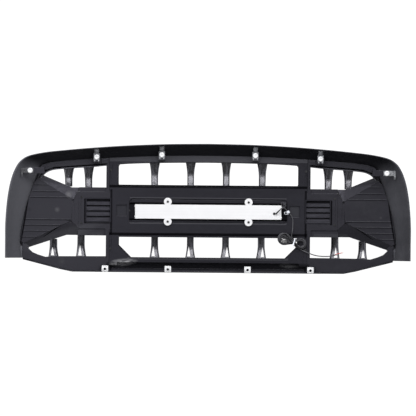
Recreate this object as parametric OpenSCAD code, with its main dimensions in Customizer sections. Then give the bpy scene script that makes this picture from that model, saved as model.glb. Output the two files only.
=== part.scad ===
// Front grille for a full-size pickup, with a light bar in its centre beam.
// +X is the vehicle's right, +Y is forward and +Z is up. The origin is the centre of the grille.
// A depth is measured forward from the bow: the arc, seen from above, of the backs of the frames.

/* [Overall] */
// Width over the surround
grille_w = 1161; // [1155:1:1167]
// Height from the bottom edge to the crown of the top edge
grille_h = 371; // [370:1:372]
// Radius of the bow, seen from above
bow_r = 3000; // [2900:50:3100]
// How far the back rim of the surround stands behind the bow
rim_depth = 50; // [46:1:54]
// How far the centre fascia stands in front of the bow
fascia_depth = 34; // [33:1:36]
// Thickness of the moulded skins
skin = 3; // [2.6:0.1:3.2]

/* [Windows] */
// Half the width of the upper centre window
window_half_w = 257.8; // [256:0.1:259]
// Corner radius of the upper centre window
window_corner_r = 10; // [6:1:12]
// Inner edge of the side windows
side_window_x = 293.7; // [292.5:0.1:295]
// Lower edge of the lower windows
sill_z = -142; // [-143:0.5:-141]

/* [Centre beam] */
// Top edge of the beam
beam_top_z = 66.3; // [65:0.1:67]
// Bottom edge of the beam
beam_bottom_z = -84.3; // [-85:0.1:-83]
// Half the width of the beam between the two vents
beam_half_w = 277; // [276:0.5:278]

/* [Light bar] */
// Length of the light bar
bar_l = 421; // [415:1:423]
// Height of the light bar
bar_h = 41; // [39:0.5:42]
// Height of the centre line of the light bar
bar_z = -10.5; // [-11.5:0.5:-9.5]
// Diameter of the round fixing lugs
lug_d = 22.7; // [20:0.1:24]
// Spacing of the lugs along the bar
lug_pitch_x = 232.6; // [228:0.2:238]
// Spacing of the lugs across the bar
lug_pitch_z = 57.2; // [56:0.2:58]
// Number of LEDs
led_count = 24; // [16:2:26]

/* [Fastening] */
// Diameter of the threaded hole in each clip nut
nut_d = 6; // [5:0.5:6.5]
// Half the spacing of the inner top clip nuts
top_inner_x = 134.5; // [130:0.5:138]
// Half the spacing of the outer top clip nuts
top_outer_x = 321.5; // [320:0.5:323]
// Half the spacing of the corner clip nuts
corner_x = 510.8; // [509:0.2:512]
// Half the spacing of the inner bottom clip nuts
bottom_inner_x = 114.6; // [110:0.2:120]
// Half the spacing of the outer bottom clip nuts
bottom_outer_x = 295.4; // [294:0.2:297]

/* [Cord] */
// Diameter of the light bar's cord
cord_d = 3; // [2.8:0.1:3.2]

/* [Hidden] */

half_w = grille_w / 2;
top_z = grille_h / 2;
bottom_z = -grille_h / 2;
tiny = 0.2;
fine = 64;

// The bow's height above the bounding box's centre, so that the whole grille is centred on the origin.
bow_y = (bow_r - sqrt(pow(bow_r - rim_depth, 2) - half_w * half_w) - fascia_depth) / 2;

// y of a point at a distance x from the centre and a depth in front of the bow
function bow_at(x, depth) = bow_y - bow_r + sqrt(pow(bow_r + depth, 2) - x * x);
// z of the arched lines across the top: the rim, the crease inside it and the window heads
function rim_z(x) = top_z - x * x / 7880;
function crease_z(x) = top_z - 33.5 - x * x / 9700;
function head_z(x) = top_z - 54.5 - x * x / 10200;
function side_head_z(x) = head_z(x) - 4.2;

// Shades of the moulded plastic, the struts and the metal parts
panel_colour = [0.18, 0.18, 0.2];
band_colour = [0.25, 0.25, 0.27];
gloss_colour = [0.06, 0.06, 0.07];
white_colour = [0.95, 0.95, 0.96];
steel_colour = [0.8, 0.8, 0.82];

// --- Shared shapes ---

// Extrudes an outline drawn in X and Z between two values of y.
module slab(y_back, y_front) {
    translate([0, y_front, 0])
        rotate([90, 0, 0])
            linear_extrude(y_front - y_back)
                children();
}

// A wall that follows the bow between two depths and has the outline given as children.
module bowed(back, front) {
    intersection() {
        slab(-120, 120)
            children();
        translate([0, bow_y - bow_r, -250])
            difference() {
                cylinder(r = bow_r + front, h = 500, $fn = 720);
                translate([0, 0, -1])
                    cylinder(r = bow_r + back, h = 502, $fn = 720);
            }
    }
}

// A cylinder along Y whose back end is at y.
module rod_y(x, y, z, d, length, sides = fine) {
    translate([x, y + length, z])
        rotate([90, 0, 0])
            cylinder(d = d, h = length, $fn = sides);
}

// An axis-aligned block between two corners.
module block(low, high) {
    translate(low)
        cube(high - low);
}

module rect(x0, z0, x1, z1) {
    translate([x0, z0])
        square([x1 - x0, z1 - z0]);
}

// The children on the vehicle's right, or mirrored to its left.
module on_side(side) {
    mirror([side < 0 ? 1 : 0, 0, 0])
        children();
}

// The children on both sides.
module both_sides() {
    for (side = [-1, 1])
        on_side(side)
            children();
}

// A solid strip between rings of points: every ring has the same number of points, in order.
function ring_faces(rings, n) = concat(
    [[for (j = [0 : n - 1]) j]],
    [for (i = [0 : rings - 2], j = [0 : n - 1])
        [i * n + j, (i + 1) * n + j, (i + 1) * n + (j + 1) % n]],
    [for (i = [0 : rings - 2], j = [0 : n - 1])
        [i * n + j, (i + 1) * n + (j + 1) % n, i * n + (j + 1) % n]],
    [[for (j = [n - 1 : -1 : 0]) (rings - 1) * n + j]]);
module loft(rings) {
    n = len(rings[0]);
    polyhedron(points = [for (ring = rings) each ring], faces = ring_faces(len(rings), n), convexity = 8);
}

// A smooth curve through control points.
function spline_point(p, i, t) = let (
    a = p[max(i - 1, 0)], b = p[i], c = p[i + 1], d = p[min(i + 2, len(p) - 1)])
    0.5 * (2 * b + (c - a) * t + (2 * a - 5 * b + 4 * c - d) * t * t + (3 * b - a - 3 * c + d) * t * t * t);
function spline(p, steps) = concat(
    [for (i = [0 : len(p) - 2], k = [0 : steps - 1]) spline_point(p, i, k / steps)],
    [p[len(p) - 1]]);

// --- Surround ---

// Half outlines of the surround, from the crown to the foot of the side band: the outer rim, the crease
// where the frames meet it, and the inner edge around the windows and behind the wings.
arch_x = [0, 118, 236, 335, 415];
rim_line = concat([for (x = arch_x) [x, rim_z(x)]],
    [[470, 157], [515, 146.8], [539, 131.5], [553, 111], [563.5, 84], [571, 52], [577, 8],
    [half_w, -48], [half_w, -100], [half_w, -146.5]]);
crease_line = concat([for (x = arch_x) [x, crease_z(x)]],
    [[455, 129.5], [480, 121], [490, 109], [495, 92], [502, 71], [512, 42], [523.5, 4],
    [535, -50], [540.5, -98], [537, -146.5]]);
inner_line = concat([for (x = [0, 118, 236]) [x, head_z(x)]],
    [[330, side_head_z(330)], [405, side_head_z(405)], [445, 106.3], [463, 99.5], [473, 91],
    [482, 78], [490, 60], [500, 32], [511, -4], [523, -54], [530, -104], [532.5, -146.5]]);

// The section: weights of rim, crease and inner edge, and depth. The front side comes first.
surround_section = [
    [1, 0, 0, -rim_depth], [0.6, 0.4, 0, -0.45 * rim_depth], [0.16, 0.84, 0, 3], [0.06, 0.94, 0, 17],
    [0, 0.87, 0.13, 27], [0, 0.6, 0.4, 31.5], [0, 0.3, 0.7, 29], [0, 0.04, 0.96, 18], [0, 0, 1, 3.4],
    [0, 0.13, 0.87, 3.4], [0, 0.17, 0.83, 17], [0, 0.37, 0.63, 26], [0, 0.6, 0.4, 28.5],
    [0, 0.8, 0.2, 24.5], [0, 0.93, 0.07, 16], [0, 1, 0, 0], [0.52, 0.48, 0, -0.5 * rim_depth],
    [0.92, 0.08, 0, -rim_depth]];
surround_steps = 3;

module outer_surround() {
    rims = spline(rim_line, surround_steps);
    creases = spline(crease_line, surround_steps);
    inners = spline(inner_line, surround_steps);
    last = len(rims) - 1;
    stations = [for (i = [-last : last]) i];
    rings = [for (i = stations)
        [for (s = surround_section)
            let (p = s[0] * rims[abs(i)] + s[1] * creases[abs(i)] + s[2] * inners[abs(i)],
                x = i < 0 ? -p[0] : p[0])
            [x, bow_at(x, s[3]), p[1]]]];
    color(band_colour)
        loft(rings);
}

// --- Lower valance ---

valance_foot = [[532, -146.8], [531, -151], [468, -167], [424, -178.5], [390, bottom_z + 0.3],
    [300, bottom_z]];
valance_head = [[530, -119], [516, -119], [503, -131.5], [487.5, -138], [466.5, -144.5], [440, sill_z - 0.6]];
valance_front = 26;
channel_half_w = 262;
lip_depth = 12;

module mirrored_outline(half) {
    polygon(concat(half, [for (i = [len(half) - 1 : -1 : 0]) [-half[i][0], half[i][1]]]));
}
module valance_outline() {
    mirrored_outline(concat([for (i = [len(valance_head) - 1 : -1 : 0]) valance_head[i]], valance_foot));
}
// The valance's edge wall, and the part of it below the windows within a distance of the centre
module valance_wall() {
    difference() {
        valance_outline();
        offset(delta = -skin)
            valance_outline();
    }
}
module valance_floor(half) {
    intersection() {
        valance_wall();
        rect(-half, bottom_z - 1, half, sill_z - 14);
    }
}
module bottom_tab(x) {
    rect(x - 13, bottom_z + 0.5, x + 13, bottom_z + 17.5);
}

module lower_valance() {
    color(panel_colour)
        difference() {
            union() {
                bowed(valance_front, valance_front + skin)
                    valance_outline();
                bowed(skin + tiny, valance_front + skin)
                    valance_wall();
                bowed(-2, skin + 1)
                    valance_floor(529);
                bowed(-lip_depth, skin + 1)
                    valance_floor(325);
                bowed(-lip_depth, 2.5 - lip_depth)
                    union() {
                        intersection() {
                            valance_outline();
                            rect(-channel_half_w - 15, bottom_z, channel_half_w + 15, bottom_z + 11.5);
                        }
                        for (x = [-bottom_outer_x, -bottom_inner_x, bottom_inner_x, bottom_outer_x])
                            bottom_tab(x);
                    }
                bowed(-lip_depth - 1.5, -lip_depth + 1)
                    for (z = [bottom_z + 1, bottom_z + 9.5])
                        rect(-channel_half_w - 14, z, channel_half_w + 14, z + 2);
            }
            for (x = [-bottom_outer_x, -bottom_inner_x, bottom_inner_x, bottom_outer_x]) {
                rod_y(x, bow_at(x, -lip_depth - 4), nut_bottom_z, nut_d + 2, 10);
                translate([x, 0, 0])
                    block([-12, bow_at(x, -lip_depth - 4), bottom_z + 0.9],
                        [12, bow_at(x, -lip_depth), bottom_z + 12]);
            }
        }
}

// --- Centre frame ---

post_x = 285.5;
post_foot_z = -165.5;
recess = [[-228, -42], [228, 27]];
floor_depth = 6;
edge_depth = 4;
edge_top_z = beam_top_z - 5.3;
edge_bottom_z = beam_bottom_z + 8.3;
gusset = 35;
tower_depth = 26;
nut_bottom_z = -177;
top_inner_z = 152.6;
top_outer_z = 144.6;

module centre_outline() {
    steps = 12;
    polygon(concat(
        [for (i = [-steps : steps]) let (x = i / steps * post_x) [x, crease_z(x) - 0.7]],
        [[post_x, post_foot_z], [-post_x, post_foot_z]]));
}
module upper_centre_window(low_z) {
    steps = 12;
    offset(r = window_corner_r, $fn = 48)
        offset(delta = -window_corner_r)
            polygon(concat(
                [for (i = [-steps : steps]) let (x = i / steps * window_half_w) [x, head_z(x) + 1.6]],
                [[window_half_w, low_z], [-window_half_w, low_z]]));
}
module lower_centre_window(high_z) {
    w = window_half_w - 2;
    polygon([[-w, high_z], [-w, sill_z + gusset], [-w + gusset, sill_z], [w - gusset, sill_z],
        [w, sill_z + gusset], [w, high_z]]);
}
module recess_outline(grow) {
    offset(delta = grow)
        polygon([[recess[0][0], recess[0][1]], [recess[1][0], recess[0][1]],
            [recess[1][0], recess[1][1] - 8], [recess[1][0] - 8, recess[1][1]],
            [recess[0][0] + 8, recess[1][1]], [recess[0][0], recess[1][1] - 8]]);
}
module bar_opening() {
    rect(-bar_l / 2 - 1.5, bar_z - bar_h / 2 - 1, bar_l / 2 + 1.5, bar_z + bar_h / 2 + 1);
}
module pocket_outline(side) {
    on_side(side)
        rect(234, -24, 264, 8);
}
// The places of the light bar's four lugs
module at_lugs() {
    for (x = [-lug_pitch_x / 2, lug_pitch_x / 2], z = [-lug_pitch_z / 2, lug_pitch_z / 2])
        translate([x, 0, bar_z + z])
            children();
}
bar_back_y = bow_y - 10;
lug_front_y = bar_back_y + 3;

// A tower that carries a clip nut: a plate behind the rail, on two cheeks
module clip_tower(x, z) {
    y = bow_at(x, -tower_depth);
    difference() {
        union() {
            block([x - 10, y, z - 15], [x + 10, y + skin, z + 11]);
            for (cheek = [x - 10, x + 10 - 2.5])
                block([cheek, y + 0.5, z - 15], [cheek + 2.5, bow_at(x, 1), z - 3]);
        }
        rod_y(x, y - 1, z, nut_d + 2, 6);
    }
}

module centre_frame() {
    color(panel_colour)
        difference() {
            union() {
                bowed(0, skin)
                    difference() {
                        centre_outline();
                        upper_centre_window(edge_top_z);
                        lower_centre_window(edge_bottom_z);
                        recess_outline(0);
                        rect(-channel_half_w, post_foot_z - 1, channel_half_w, sill_z - 15);
                        both_sides()
                            rect(beam_half_w, -61, 300, 45);
                        both_sides()
                            pocket_outline(1);
                    }
                beam_edges();
                light_recess();
                both_sides()
                    bowed(0, floor_depth)
                        difference() {
                            offset(delta = 2)
                                pocket_outline(1);
                            pocket_outline(1);
                        }
                both_sides()
                    bowed(floor_depth - 2, floor_depth)
                        offset(delta = 1)
                            pocket_outline(1);
                window_lips();
                for (x = [-top_inner_x, top_inner_x])
                    clip_tower(x, top_inner_z);
                at_lugs()
                    rod_y(0, lug_front_y, 0, 14, bow_at(lug_pitch_x / 2, floor_depth + 1) - lug_front_y);
            }
            at_lugs()
                rod_y(0, lug_front_y - 1, 0, 3.6, 12);
            for (x = [-post_x + 5, post_x - 5], z = frame_screw_zs)
                rod_y(x, bow_at(x, -5), z, 3.6, 12);
        }
}
// The set-back strips along the beam's two long edges, with the walls that join them to the beam
module beam_edges() {
    x = window_half_w + 2;
    bowed(edge_depth, edge_depth + skin)
        union() {
            rect(-x, edge_top_z - 3, x, beam_top_z);
            rect(-x, beam_bottom_z, x, edge_bottom_z + 3);
        }
    bowed(0, edge_depth + 1)
        union() {
            rect(-x, edge_top_z - 3, x, edge_top_z);
            rect(-x, edge_bottom_z, x, edge_bottom_z + 3);
        }
}
// The recess behind the light bar: its walls, its floor with the opening, and a ridge above and below
module light_recess() {
    bowed(0, floor_depth + skin)
        difference() {
            recess_outline(2.5);
            recess_outline(0);
        }
    bowed(floor_depth, floor_depth + skin)
        difference() {
            recess_outline(1);
            bar_opening();
        }
    bowed(2, floor_depth + 1)
        union() {
            rect(-220, 15.3, 212, 24);
            rect(-220, -41, 220, -35.2);
        }
}
// Raised lips around the two centre windows
module window_lips() {
    bowed(-2, 1)
        intersection() {
            centre_outline();
            union() {
                difference() {
                    offset(delta = 2.2)
                        upper_centre_window(edge_top_z - 9);
                    upper_centre_window(edge_top_z - 9);
                    rect(-400, 0, 400, beam_top_z);
                }
                difference() {
                    offset(delta = 2.2)
                        lower_centre_window(edge_bottom_z + 9);
                    lower_centre_window(edge_bottom_z + 9);
                    rect(-400, beam_bottom_z, 400, 0);
                }
            }
        }
}

// --- Side frames ---

// Gap between panels that meet edge to edge
seam = 0.1;
neck_top_z = 45;
neck_bottom_z = -61;
side_sill_z = 57;
side_head_low_z = -80;
joint_x = 372;
frame_screw_zs = [108, -118];
vent_low = [beam_half_w + 2, -42];
vent_high = [beam_half_w + 76, 27];
rail_end = [[455, 128.5], [478, 120.5], [486, 110], [480, 104], [468, 106]];

module side_outline() {
    inner_x = post_x + seam;
    polygon(concat(
        [for (x = [inner_x, 330, 372, 415]) [x, crease_z(x) - 0.7]],
        rail_end,
        [for (x = [445, 410, 372, 330, side_window_x]) [x, crease_z(x) - 17]],
        [[side_window_x, side_sill_z], [joint_x, side_sill_z], [joint_x, side_head_low_z],
        [side_window_x, side_head_low_z], [side_window_x, sill_z + 2], [440, sill_z + 1],
        [466.5, -143], [487.5, -136.5], [503, -130], [515.5, -118.2], [528.6, -106.2],
        [531.2, -106.2], [531.2, -147], [468, -163], [424, -174.6], [389, bottom_z + 3.9],
        [inner_x, bottom_z + 3.6], [inner_x, neck_bottom_z - seam],
        [beam_half_w + seam, neck_bottom_z - seam],
        [beam_half_w + seam, neck_top_z + seam], [inner_x, neck_top_z + seam]]));
}
module vent_hole() {
    rect(vent_low[0], vent_low[1], vent_high[0], vent_high[1]);
}

module side_frame(side) {
    color(panel_colour)
        on_side(side)
            difference() {
                union() {
                    bowed(0, skin)
                        difference() {
                            side_outline();
                            vent_hole();
                            rect(side_window_x + 2, neck_top_z, joint_x + 1, side_sill_z + 1);
                            rect(side_window_x + 2, side_head_low_z - 1, joint_x + 1, neck_bottom_z);
                        }
                    neck_edges();
                    bowed(-3, 1)
                        rect(side_window_x - 2, side_sill_z, side_window_x, crease_z(side_window_x) - 18);
                    bowed(-3, 1)
                        rect(side_window_x - 2, sill_z, side_window_x, side_head_low_z);
                    bowed(-4, 1)
                        rect(post_x + 4, crease_z(300) - 16, post_x + 22, crease_z(300) - 1.5);
                    clip_tower(top_outer_x, top_outer_z);
                    corner_arm();
                }
                rod_y(bottom_outer_x, bow_at(bottom_outer_x, -5), nut_bottom_z, nut_d + 6, 12);
                translate([bottom_outer_x, 0, 0])
                    block([-14, bow_at(bottom_outer_x, -5), bottom_z],
                        [14, bow_at(bottom_outer_x, 8), bottom_z + 19]);
                for (x = [joint_x - 8], z = [30, -45])
                    rod_y(x, bow_at(x, -5), z, 3.6, 12);
            }
}
// The set-back strips along the neck's two edges
module neck_edges() {
    bowed(edge_depth, edge_depth + skin)
        union() {
            rect(side_window_x - 1, neck_top_z - 3, joint_x, side_sill_z + 0.8);
            rect(side_window_x - 1, side_head_low_z - 0.8, joint_x, neck_bottom_z + 3);
        }
    bowed(0, edge_depth + 1)
        union() {
            rect(side_window_x - 1, neck_top_z - 3, joint_x, neck_top_z);
            rect(side_window_x - 1, neck_bottom_z, joint_x, neck_bottom_z + 3);
        }
}
corner_z = 104.4;
corner_depth = 43;
// The arm that carries the corner clip nut: a block on the rail's end and a plate across to the side
module corner_arm() {
    y = bow_at(corner_x, -corner_depth);
    difference() {
        union() {
            block([470, y, corner_z - 4], [480, bow_at(475, 1), corner_z + 10]);
            block([470, y, corner_z - 8.5], [corner_x + 12, y + skin, corner_z + 8.5]);
        }
        rod_y(corner_x, y - 1, corner_z, nut_d + 2, 6);
    }
}

// --- Wings ---

// Where each fold of a wing starts at the neck and ends at the surround
upper_fold = [[388, 22], [488, 82]];
lower_fold = [[394.5, -38.6], [528, -104]];
fan_edge = [[488, 82], [500.5, 71], [510.5, 42], [522, 4], [533.5, -50], [539, -98], [528, -104]];
fold_depth = 11;
rib_zs = [64.7, 45.5, 28.6, -34.9, -51, -68.2, -85.4];
rib_h = 3;

function line_x(a, b, z) = a[0] + (b[0] - a[0]) * (z - a[1]) / (b[1] - a[1]);

module fan_outline() {
    polygon(concat([[joint_x + seam, neck_top_z - 0.6], upper_fold[0]], fan_edge,
        [lower_fold[0], [joint_x + seam, neck_bottom_z + 0.6]]));
}
// A folded panel: a strip between a fold, level with the fan, and an edge further forward
module folded_panel(fold, edge) {
    loft([for (i = [0 : len(fold) - 1])
        [for (q = [[fold[i], 0], [fold[i], skin], [edge[i], fold_depth + skin], [edge[i], fold_depth]])
            [q[0][0], bow_at(q[0][0], q[1]), q[0][1]]]]);
}

// Blind holes for the pegs of the trim in front
peg_holes = [[389, 20], [395, -40]];
module wing(side) {
    color(panel_colour)
        on_side(side)
            difference() {
                union() {
                    bowed(0, skin)
                        fan_outline();
                    folded_panel([[joint_x + seam, neck_top_z - 2], upper_fold[0] - [0, 1], [489, 81.5]],
                        [[joint_x + seam, side_sill_z], [393, side_sill_z], [474, 91]]);
                    folded_panel([[528, -104.5], lower_fold[0] + [0, 1], [joint_x + seam, neck_bottom_z + 2]],
                        [[516, -116.5], [406.8, side_head_low_z], [joint_x + seam, side_head_low_z]]);
                    for (z = rib_zs)
                        wing_rib(z);
                    for (p = peg_holes)
                        rod_y(p[0], bow_at(p[0], 1), p[1], 9, 7);
                }
                for (p = peg_holes)
                    rod_y(p[0], bow_at(p[0], -8), p[1], 5, 13);
            }
}
module wing_rib(z) {
    fold = z > 0 ? upper_fold : lower_fold;
    x0 = max(line_x(fold[0], fold[1], z), fold[0][0]) + 2;
    x1 = lookup(-z, [for (p = fan_edge) [-p[1], p[0]]]) - 3;
    bowed(-rib_h, 1)
        rect(x0, z - 0.9, x1, z + 0.9);
}

// --- Vents ---

module vent(side) {
    w = vent_high[0] - vent_low[0];
    h = vent_high[1] - vent_low[1];
    frame = 3.2;
    slats = 4;
    pitch = (h - 2 * frame) / slats;
    color(panel_colour)
        on_side(side) {
            bowed(-1.5, 20)
                difference() {
                    rect(vent_low[0] + tiny, vent_low[1] + tiny, vent_high[0] - tiny, vent_high[1] - tiny);
                    rect(vent_low[0] + frame, vent_low[1] + frame, vent_high[0] - frame, vent_high[1] - frame);
                }
            for (i = [0 : slats - 1])
                translate([vent_low[0] + 2, bow_at(315, 3), vent_low[1] + frame - 1.6 + i * pitch])
                    rotate([-22, 0, 0])
                        cube([w - 4, 2, pitch + 1.2]);
        }
}

// --- Centre fascia ---

fascia_end_x = 366;
fascia_skin = 3;

module fascia_outline() {
    mirrored_outline([[beam_half_w - 8, beam_top_z - 0.6], [beam_half_w + 8, side_sill_z - 1],
        [fascia_end_x, side_sill_z - 1], [fascia_end_x + 14, -12], [fascia_end_x, side_head_low_z + 1],
        [beam_half_w + 8, side_head_low_z + 1], [beam_half_w - 8, beam_bottom_z + 0.6]]);
}
module lens_window() {
    rect(-bar_l / 2 + 4, bar_z - 17.5, bar_l / 2 - 4, bar_z + 17.5);
}
module centre_fascia() {
    color(gloss_colour)
        union() {
            bowed(fascia_depth - fascia_skin, fascia_depth)
                difference() {
                    fascia_outline();
                    lens_window();
                    both_sides()
                        rect(vent_low[0] + 4, vent_low[1] + 4, vent_high[0] - 4, vent_high[1] - 4);
                }
            bowed(20.4, fascia_depth - 1)
                both_sides()
                    difference() {
                        rect(vent_low[0] + 1, vent_low[1] + 1, vent_high[0] - 1, vent_high[1] - 1);
                        rect(vent_low[0] + 4, vent_low[1] + 4, vent_high[0] - 4, vent_high[1] - 4);
                    }
            bowed(15, fascia_depth - 1)
                difference() {
                    fascia_outline();
                    offset(delta = -fascia_skin)
                        fascia_outline();
                }
        }
}

// --- Window struts ---

// Distance of each strut from the centre, the heights of its two ends, and how steeply an end is cut
// where it meets a wing's slanting edge
upper_struts = [[-400.5, 60.5, 110.6, -0.42, 0], [-343.6, 57, 114.8], [-154.5, 66.8, 128.3],
    [-51, 66.8, 130.4], [51, 66.8, 130.4], [154.5, 66.8, 128.3], [343.6, 57, 114.8],
    [400.5, 60.5, 110.6, 0.42, 0]];
lower_struts = [[-442.4, -142, -92.8, 0, 0.334], [-363.8, -142, -81.3], [-153, -142, -84.8],
    [-50.6, -142, -84.8], [50.6, -142, -84.8], [153, -142, -84.8], [363.8, -142, -81.3],
    [442.4, -142, -92.8, 0, -0.334]];
strut_back = 7.4;
strut_bulge = 27;
strut_wall = 2;

// Half width of a strut at a height from 0 at its flared end to 1 at its narrow end
function flare(t) = 9.6 + 5 * pow(max(0, 1 - t / 0.62), 1.7);
// The front wall stands furthest forward at mid-height
function web_depth(t) = strut_bulge - 11 * pow(abs(2 * t - 1), 1.4);

// A bar along a strut's route, inset from its outside; past is how far it runs beyond the back and both ends.
// Its outline from behind and its outline from the side are cut into one another, square to the bow.
module strut_bar(p, flared_top, inset, past) {
    steps = 8;
    heights = [for (i = [0 : steps])
        p[1] + i / steps * (p[2] - p[1]) + (i == 0 ? -past : i == steps ? past : 0)];
    widths = [for (i = [0 : steps]) flare((flared_top ? steps - i : i) / steps) - inset];
    depths = [for (i = [0 : steps]) web_depth(i / steps) - inset];
    slant = len(p) > 3 ? [p[3], p[4]] : [0, 0];
    cut = [for (i = [0 : steps]) i == 0 ? slant[0] : i == steps ? slant[1] : 0];
    translate([p[0], bow_at(p[0], strut_back), 0])
        rotate([0, 0, -asin(p[0] / bow_r)])
            intersection() {
                slab(-past, 60)
                    polygon(concat([for (i = [0 : steps]) [widths[i], heights[i] + cut[i] * widths[i]]],
                        [for (i = [steps : -1 : 0]) [-widths[i], heights[i] - cut[i] * widths[i]]]));
                translate([-30, 0, 0])
                    rotate([90, 0, 90])
                        linear_extrude(60)
                            polygon(concat([[depths[0], heights[0] - 8]],
                                [for (i = [0 : steps]) [depths[i], heights[i]]],
                                [[depths[steps], heights[steps] + 8],
                                [-past - 1, heights[steps] + 8], [-past - 1, heights[0] - 8]]));
            }
}
module strut(p, flared_top) {
    color(gloss_colour)
        difference() {
            strut_bar(p, flared_top, 0, 0);
            strut_bar(p, flared_top, strut_wall, 1);
        }
}
// A lower strut is forked: its front wall has a pointed opening beside the leg nearer the centre.
module lower_strut(p) {
    side = sign(p[0]);
    foot = p[1] + 3;
    difference() {
        strut(p, false);
        slab(bow_at(p[0], 4), bow_at(p[0], 45))
            polygon([[p[0] + side * 9.2, foot], [p[0] - side * 0.5, foot],
                [p[0] + side * 4.5, p[1] + 0.55 * (p[2] - p[1])]]);
    }
}

// --- Light bar ---

bar_depth = 34;
bar_wall = 2.5;
cap_t = 3;
half_bar = bar_l / 2;

module bar_section(grow) {
    rect(-half_bar + cap_t, bar_z - bar_h / 2 - grow, half_bar - cap_t, bar_z + bar_h / 2 + grow);
}

module light_housing() {
    color(white_colour)
        difference() {
            union() {
                slab(bar_back_y, bar_back_y + bar_depth)
                    bar_section(0);
                at_lugs()
                    rod_y(0, bar_back_y, 0, lug_d, 3);
            }
            slab(bar_back_y + bar_wall, bar_back_y + bar_depth + 1)
                rect(-half_bar, bar_z - bar_h / 2 + bar_wall, half_bar, bar_z + bar_h / 2 - bar_wall);
            at_lugs()
                rod_y(0, bar_back_y - 1, 0, 5.4, 6);
            rod_y(gland_x, bar_back_y - 1, gland_z, 6, 5);
        }
}
module light_end_cap(side) {
    color(white_colour)
        on_side(side)
            difference() {
                block([half_bar - cap_t, bar_back_y, bar_z - bar_h / 2],
                    [half_bar, bar_back_y + bar_depth, bar_z + bar_h / 2]);
                for (y = [5, bar_depth - 6], z = [-bar_h / 2 + 6, bar_h / 2 - 6])
                    translate([half_bar - cap_t - 1, bar_back_y + y, bar_z + z])
                        rotate([0, 90, 0])
                            cylinder(d = 3, h = cap_t + 2, $fn = fine);
            }
}
module light_circuit_board() {
    color("darkgreen")
        slab(bar_back_y + bar_wall + 1, bar_back_y + bar_wall + 2.6)
            rect(-half_bar + 5, bar_z - 15, half_bar - 5, bar_z + 15);
}
led_pitch = (bar_l - 24) / led_count;
led_y = bar_back_y + bar_wall + 2.6;
reflector_l = 20;
module at_leds() {
    for (i = [0 : led_count - 1])
        translate([(i - (led_count - 1) / 2) * led_pitch, 0, bar_z])
            children();
}
module light_leds() {
    color("khaki")
        at_leds()
            block([-2.5, led_y, -2.5], [2.5, led_y + 1.6, 2.5]);
}
module light_reflector() {
    back = led_y + 1.8;
    length = reflector_l;
    color(steel_colour)
        difference() {
            slab(back, back + length)
                rect(-half_bar + 5, bar_z - 17.5, half_bar - 5, bar_z + 17.5);
            at_leds()
                translate([0, back + length + 0.5, 0])
                    rotate([90, 0, 0])
                        cylinder(r1 = 7.9, r2 = 4, h = length + 1, $fn = 32);
        }
}
module lens_outline(grow) {
    rect(-half_bar + 6 - grow, bar_z - 17 - grow, half_bar - 6 + grow, bar_z + 17 + grow);
}
lens_back_y = led_y + 1.8 + reflector_l + 1.7;
module light_gasket() {
    color("black")
        slab(lens_back_y - 1.5, lens_back_y)
            difference() {
                lens_outline(0.8);
                lens_outline(-2.2);
            }
}
module light_lens() {
    color([0.85, 0.9, 0.95, 0.4])
        union() {
            slab(lens_back_y, lens_back_y + 3)
                lens_outline(0.8);
            slab(lens_back_y + 2.9, lens_back_y + 5)
                lens_outline(-1.5);
        }
}
// A screw along Y with its head towards the back
module screw_y(x, y, z, head_d, head_h, shank_d, shank_l) {
    difference() {
        union() {
            rod_y(x, y - head_h, z, head_d, head_h);
            rod_y(x, y - 0.1, z, shank_d, shank_l + 0.1);
        }
        rod_y(x, y - head_h - 0.5, z, head_d * 0.45, 0.5 + head_h * 0.6, 6);
    }
}
module light_mounting_screws() {
    color(gloss_colour)
        at_lugs()
            screw_y(0, bar_back_y - tiny, 0, 6.4, 1.8, 3.4, 11);
}
module light_end_cap_screws() {
    color(steel_colour)
        both_sides()
            for (y = [5, bar_depth - 6], z = [-bar_h / 2 + 6, bar_h / 2 - 6])
                translate([half_bar + 0.1, bar_back_y + y, bar_z + z])
                    rotate([0, 90, 0]) {
                        cylinder(d = 5, h = 1.6, $fn = fine);
                        translate([0, 0, -cap_t - 0.05])
                            cylinder(d = 2.7, h = cap_t + 0.1, $fn = fine);
                    }
}

// --- Cord ---

gland_x = 190;
gland_z = -13.5;

// Route of the cord from the gland's sleeve down to the hank, and from the hank to the bare wires.
// Each point is x, depth behind the bow (negative is behind) and z.
lead_points = [[203, -15.5, -6], [208, -15.2, -1], [213, -13.5, 2.5], [219, -10, 3], [224.5, -7, -2],
    [229, -5.6, -8], [234, -4.6, -13], [239, -3.8, -18.5], [242.5, -3.2, -25], [244, -2.8, -34],
    [244, -2.8, -46], [243.4, -3, -58], [242, -3.6, -68], [240.6, -4.6, -75], [240.6, -6, -81]];
tail_points = [[248.5, -12.5, -103], [252.5, -9.5, -108.5], [258.5, -6.5, -112.8], [266, -5, -116],
    [274, -4.4, -119.6], [283, -4.4, -123.4], [293, -5.4, -127.6], [304, -3, -131.4], [316, 0, -134],
    [328, 2, -135.2], [341, 3, -135.4], [354, 3, -134.4], [362, 3, -132.2]];

function with_depth(p) = [p[0], bow_at(p[0], p[1]), p[2]];
// A round tube along a smooth route; each ring stands across the route's direction.
module tube(points, d, steps, sides) {
    path = spline([for (p = points) with_depth(p)], steps);
    n = len(path);
    rings = [for (i = [0 : n - 1])
        let (along = path[min(i + 1, n - 1)] - path[max(i - 1, 0)],
            dir = along / norm(along),
            u = cross(dir, [0, 1, 0]),
            side = u / norm(u),
            up = cross(side, dir))
        [for (j = [0 : sides - 1])
            path[i] + d / 2 * (cos(360 * j / sides) * side + sin(360 * j / sides) * up)]];
    loft(rings);
}

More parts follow.
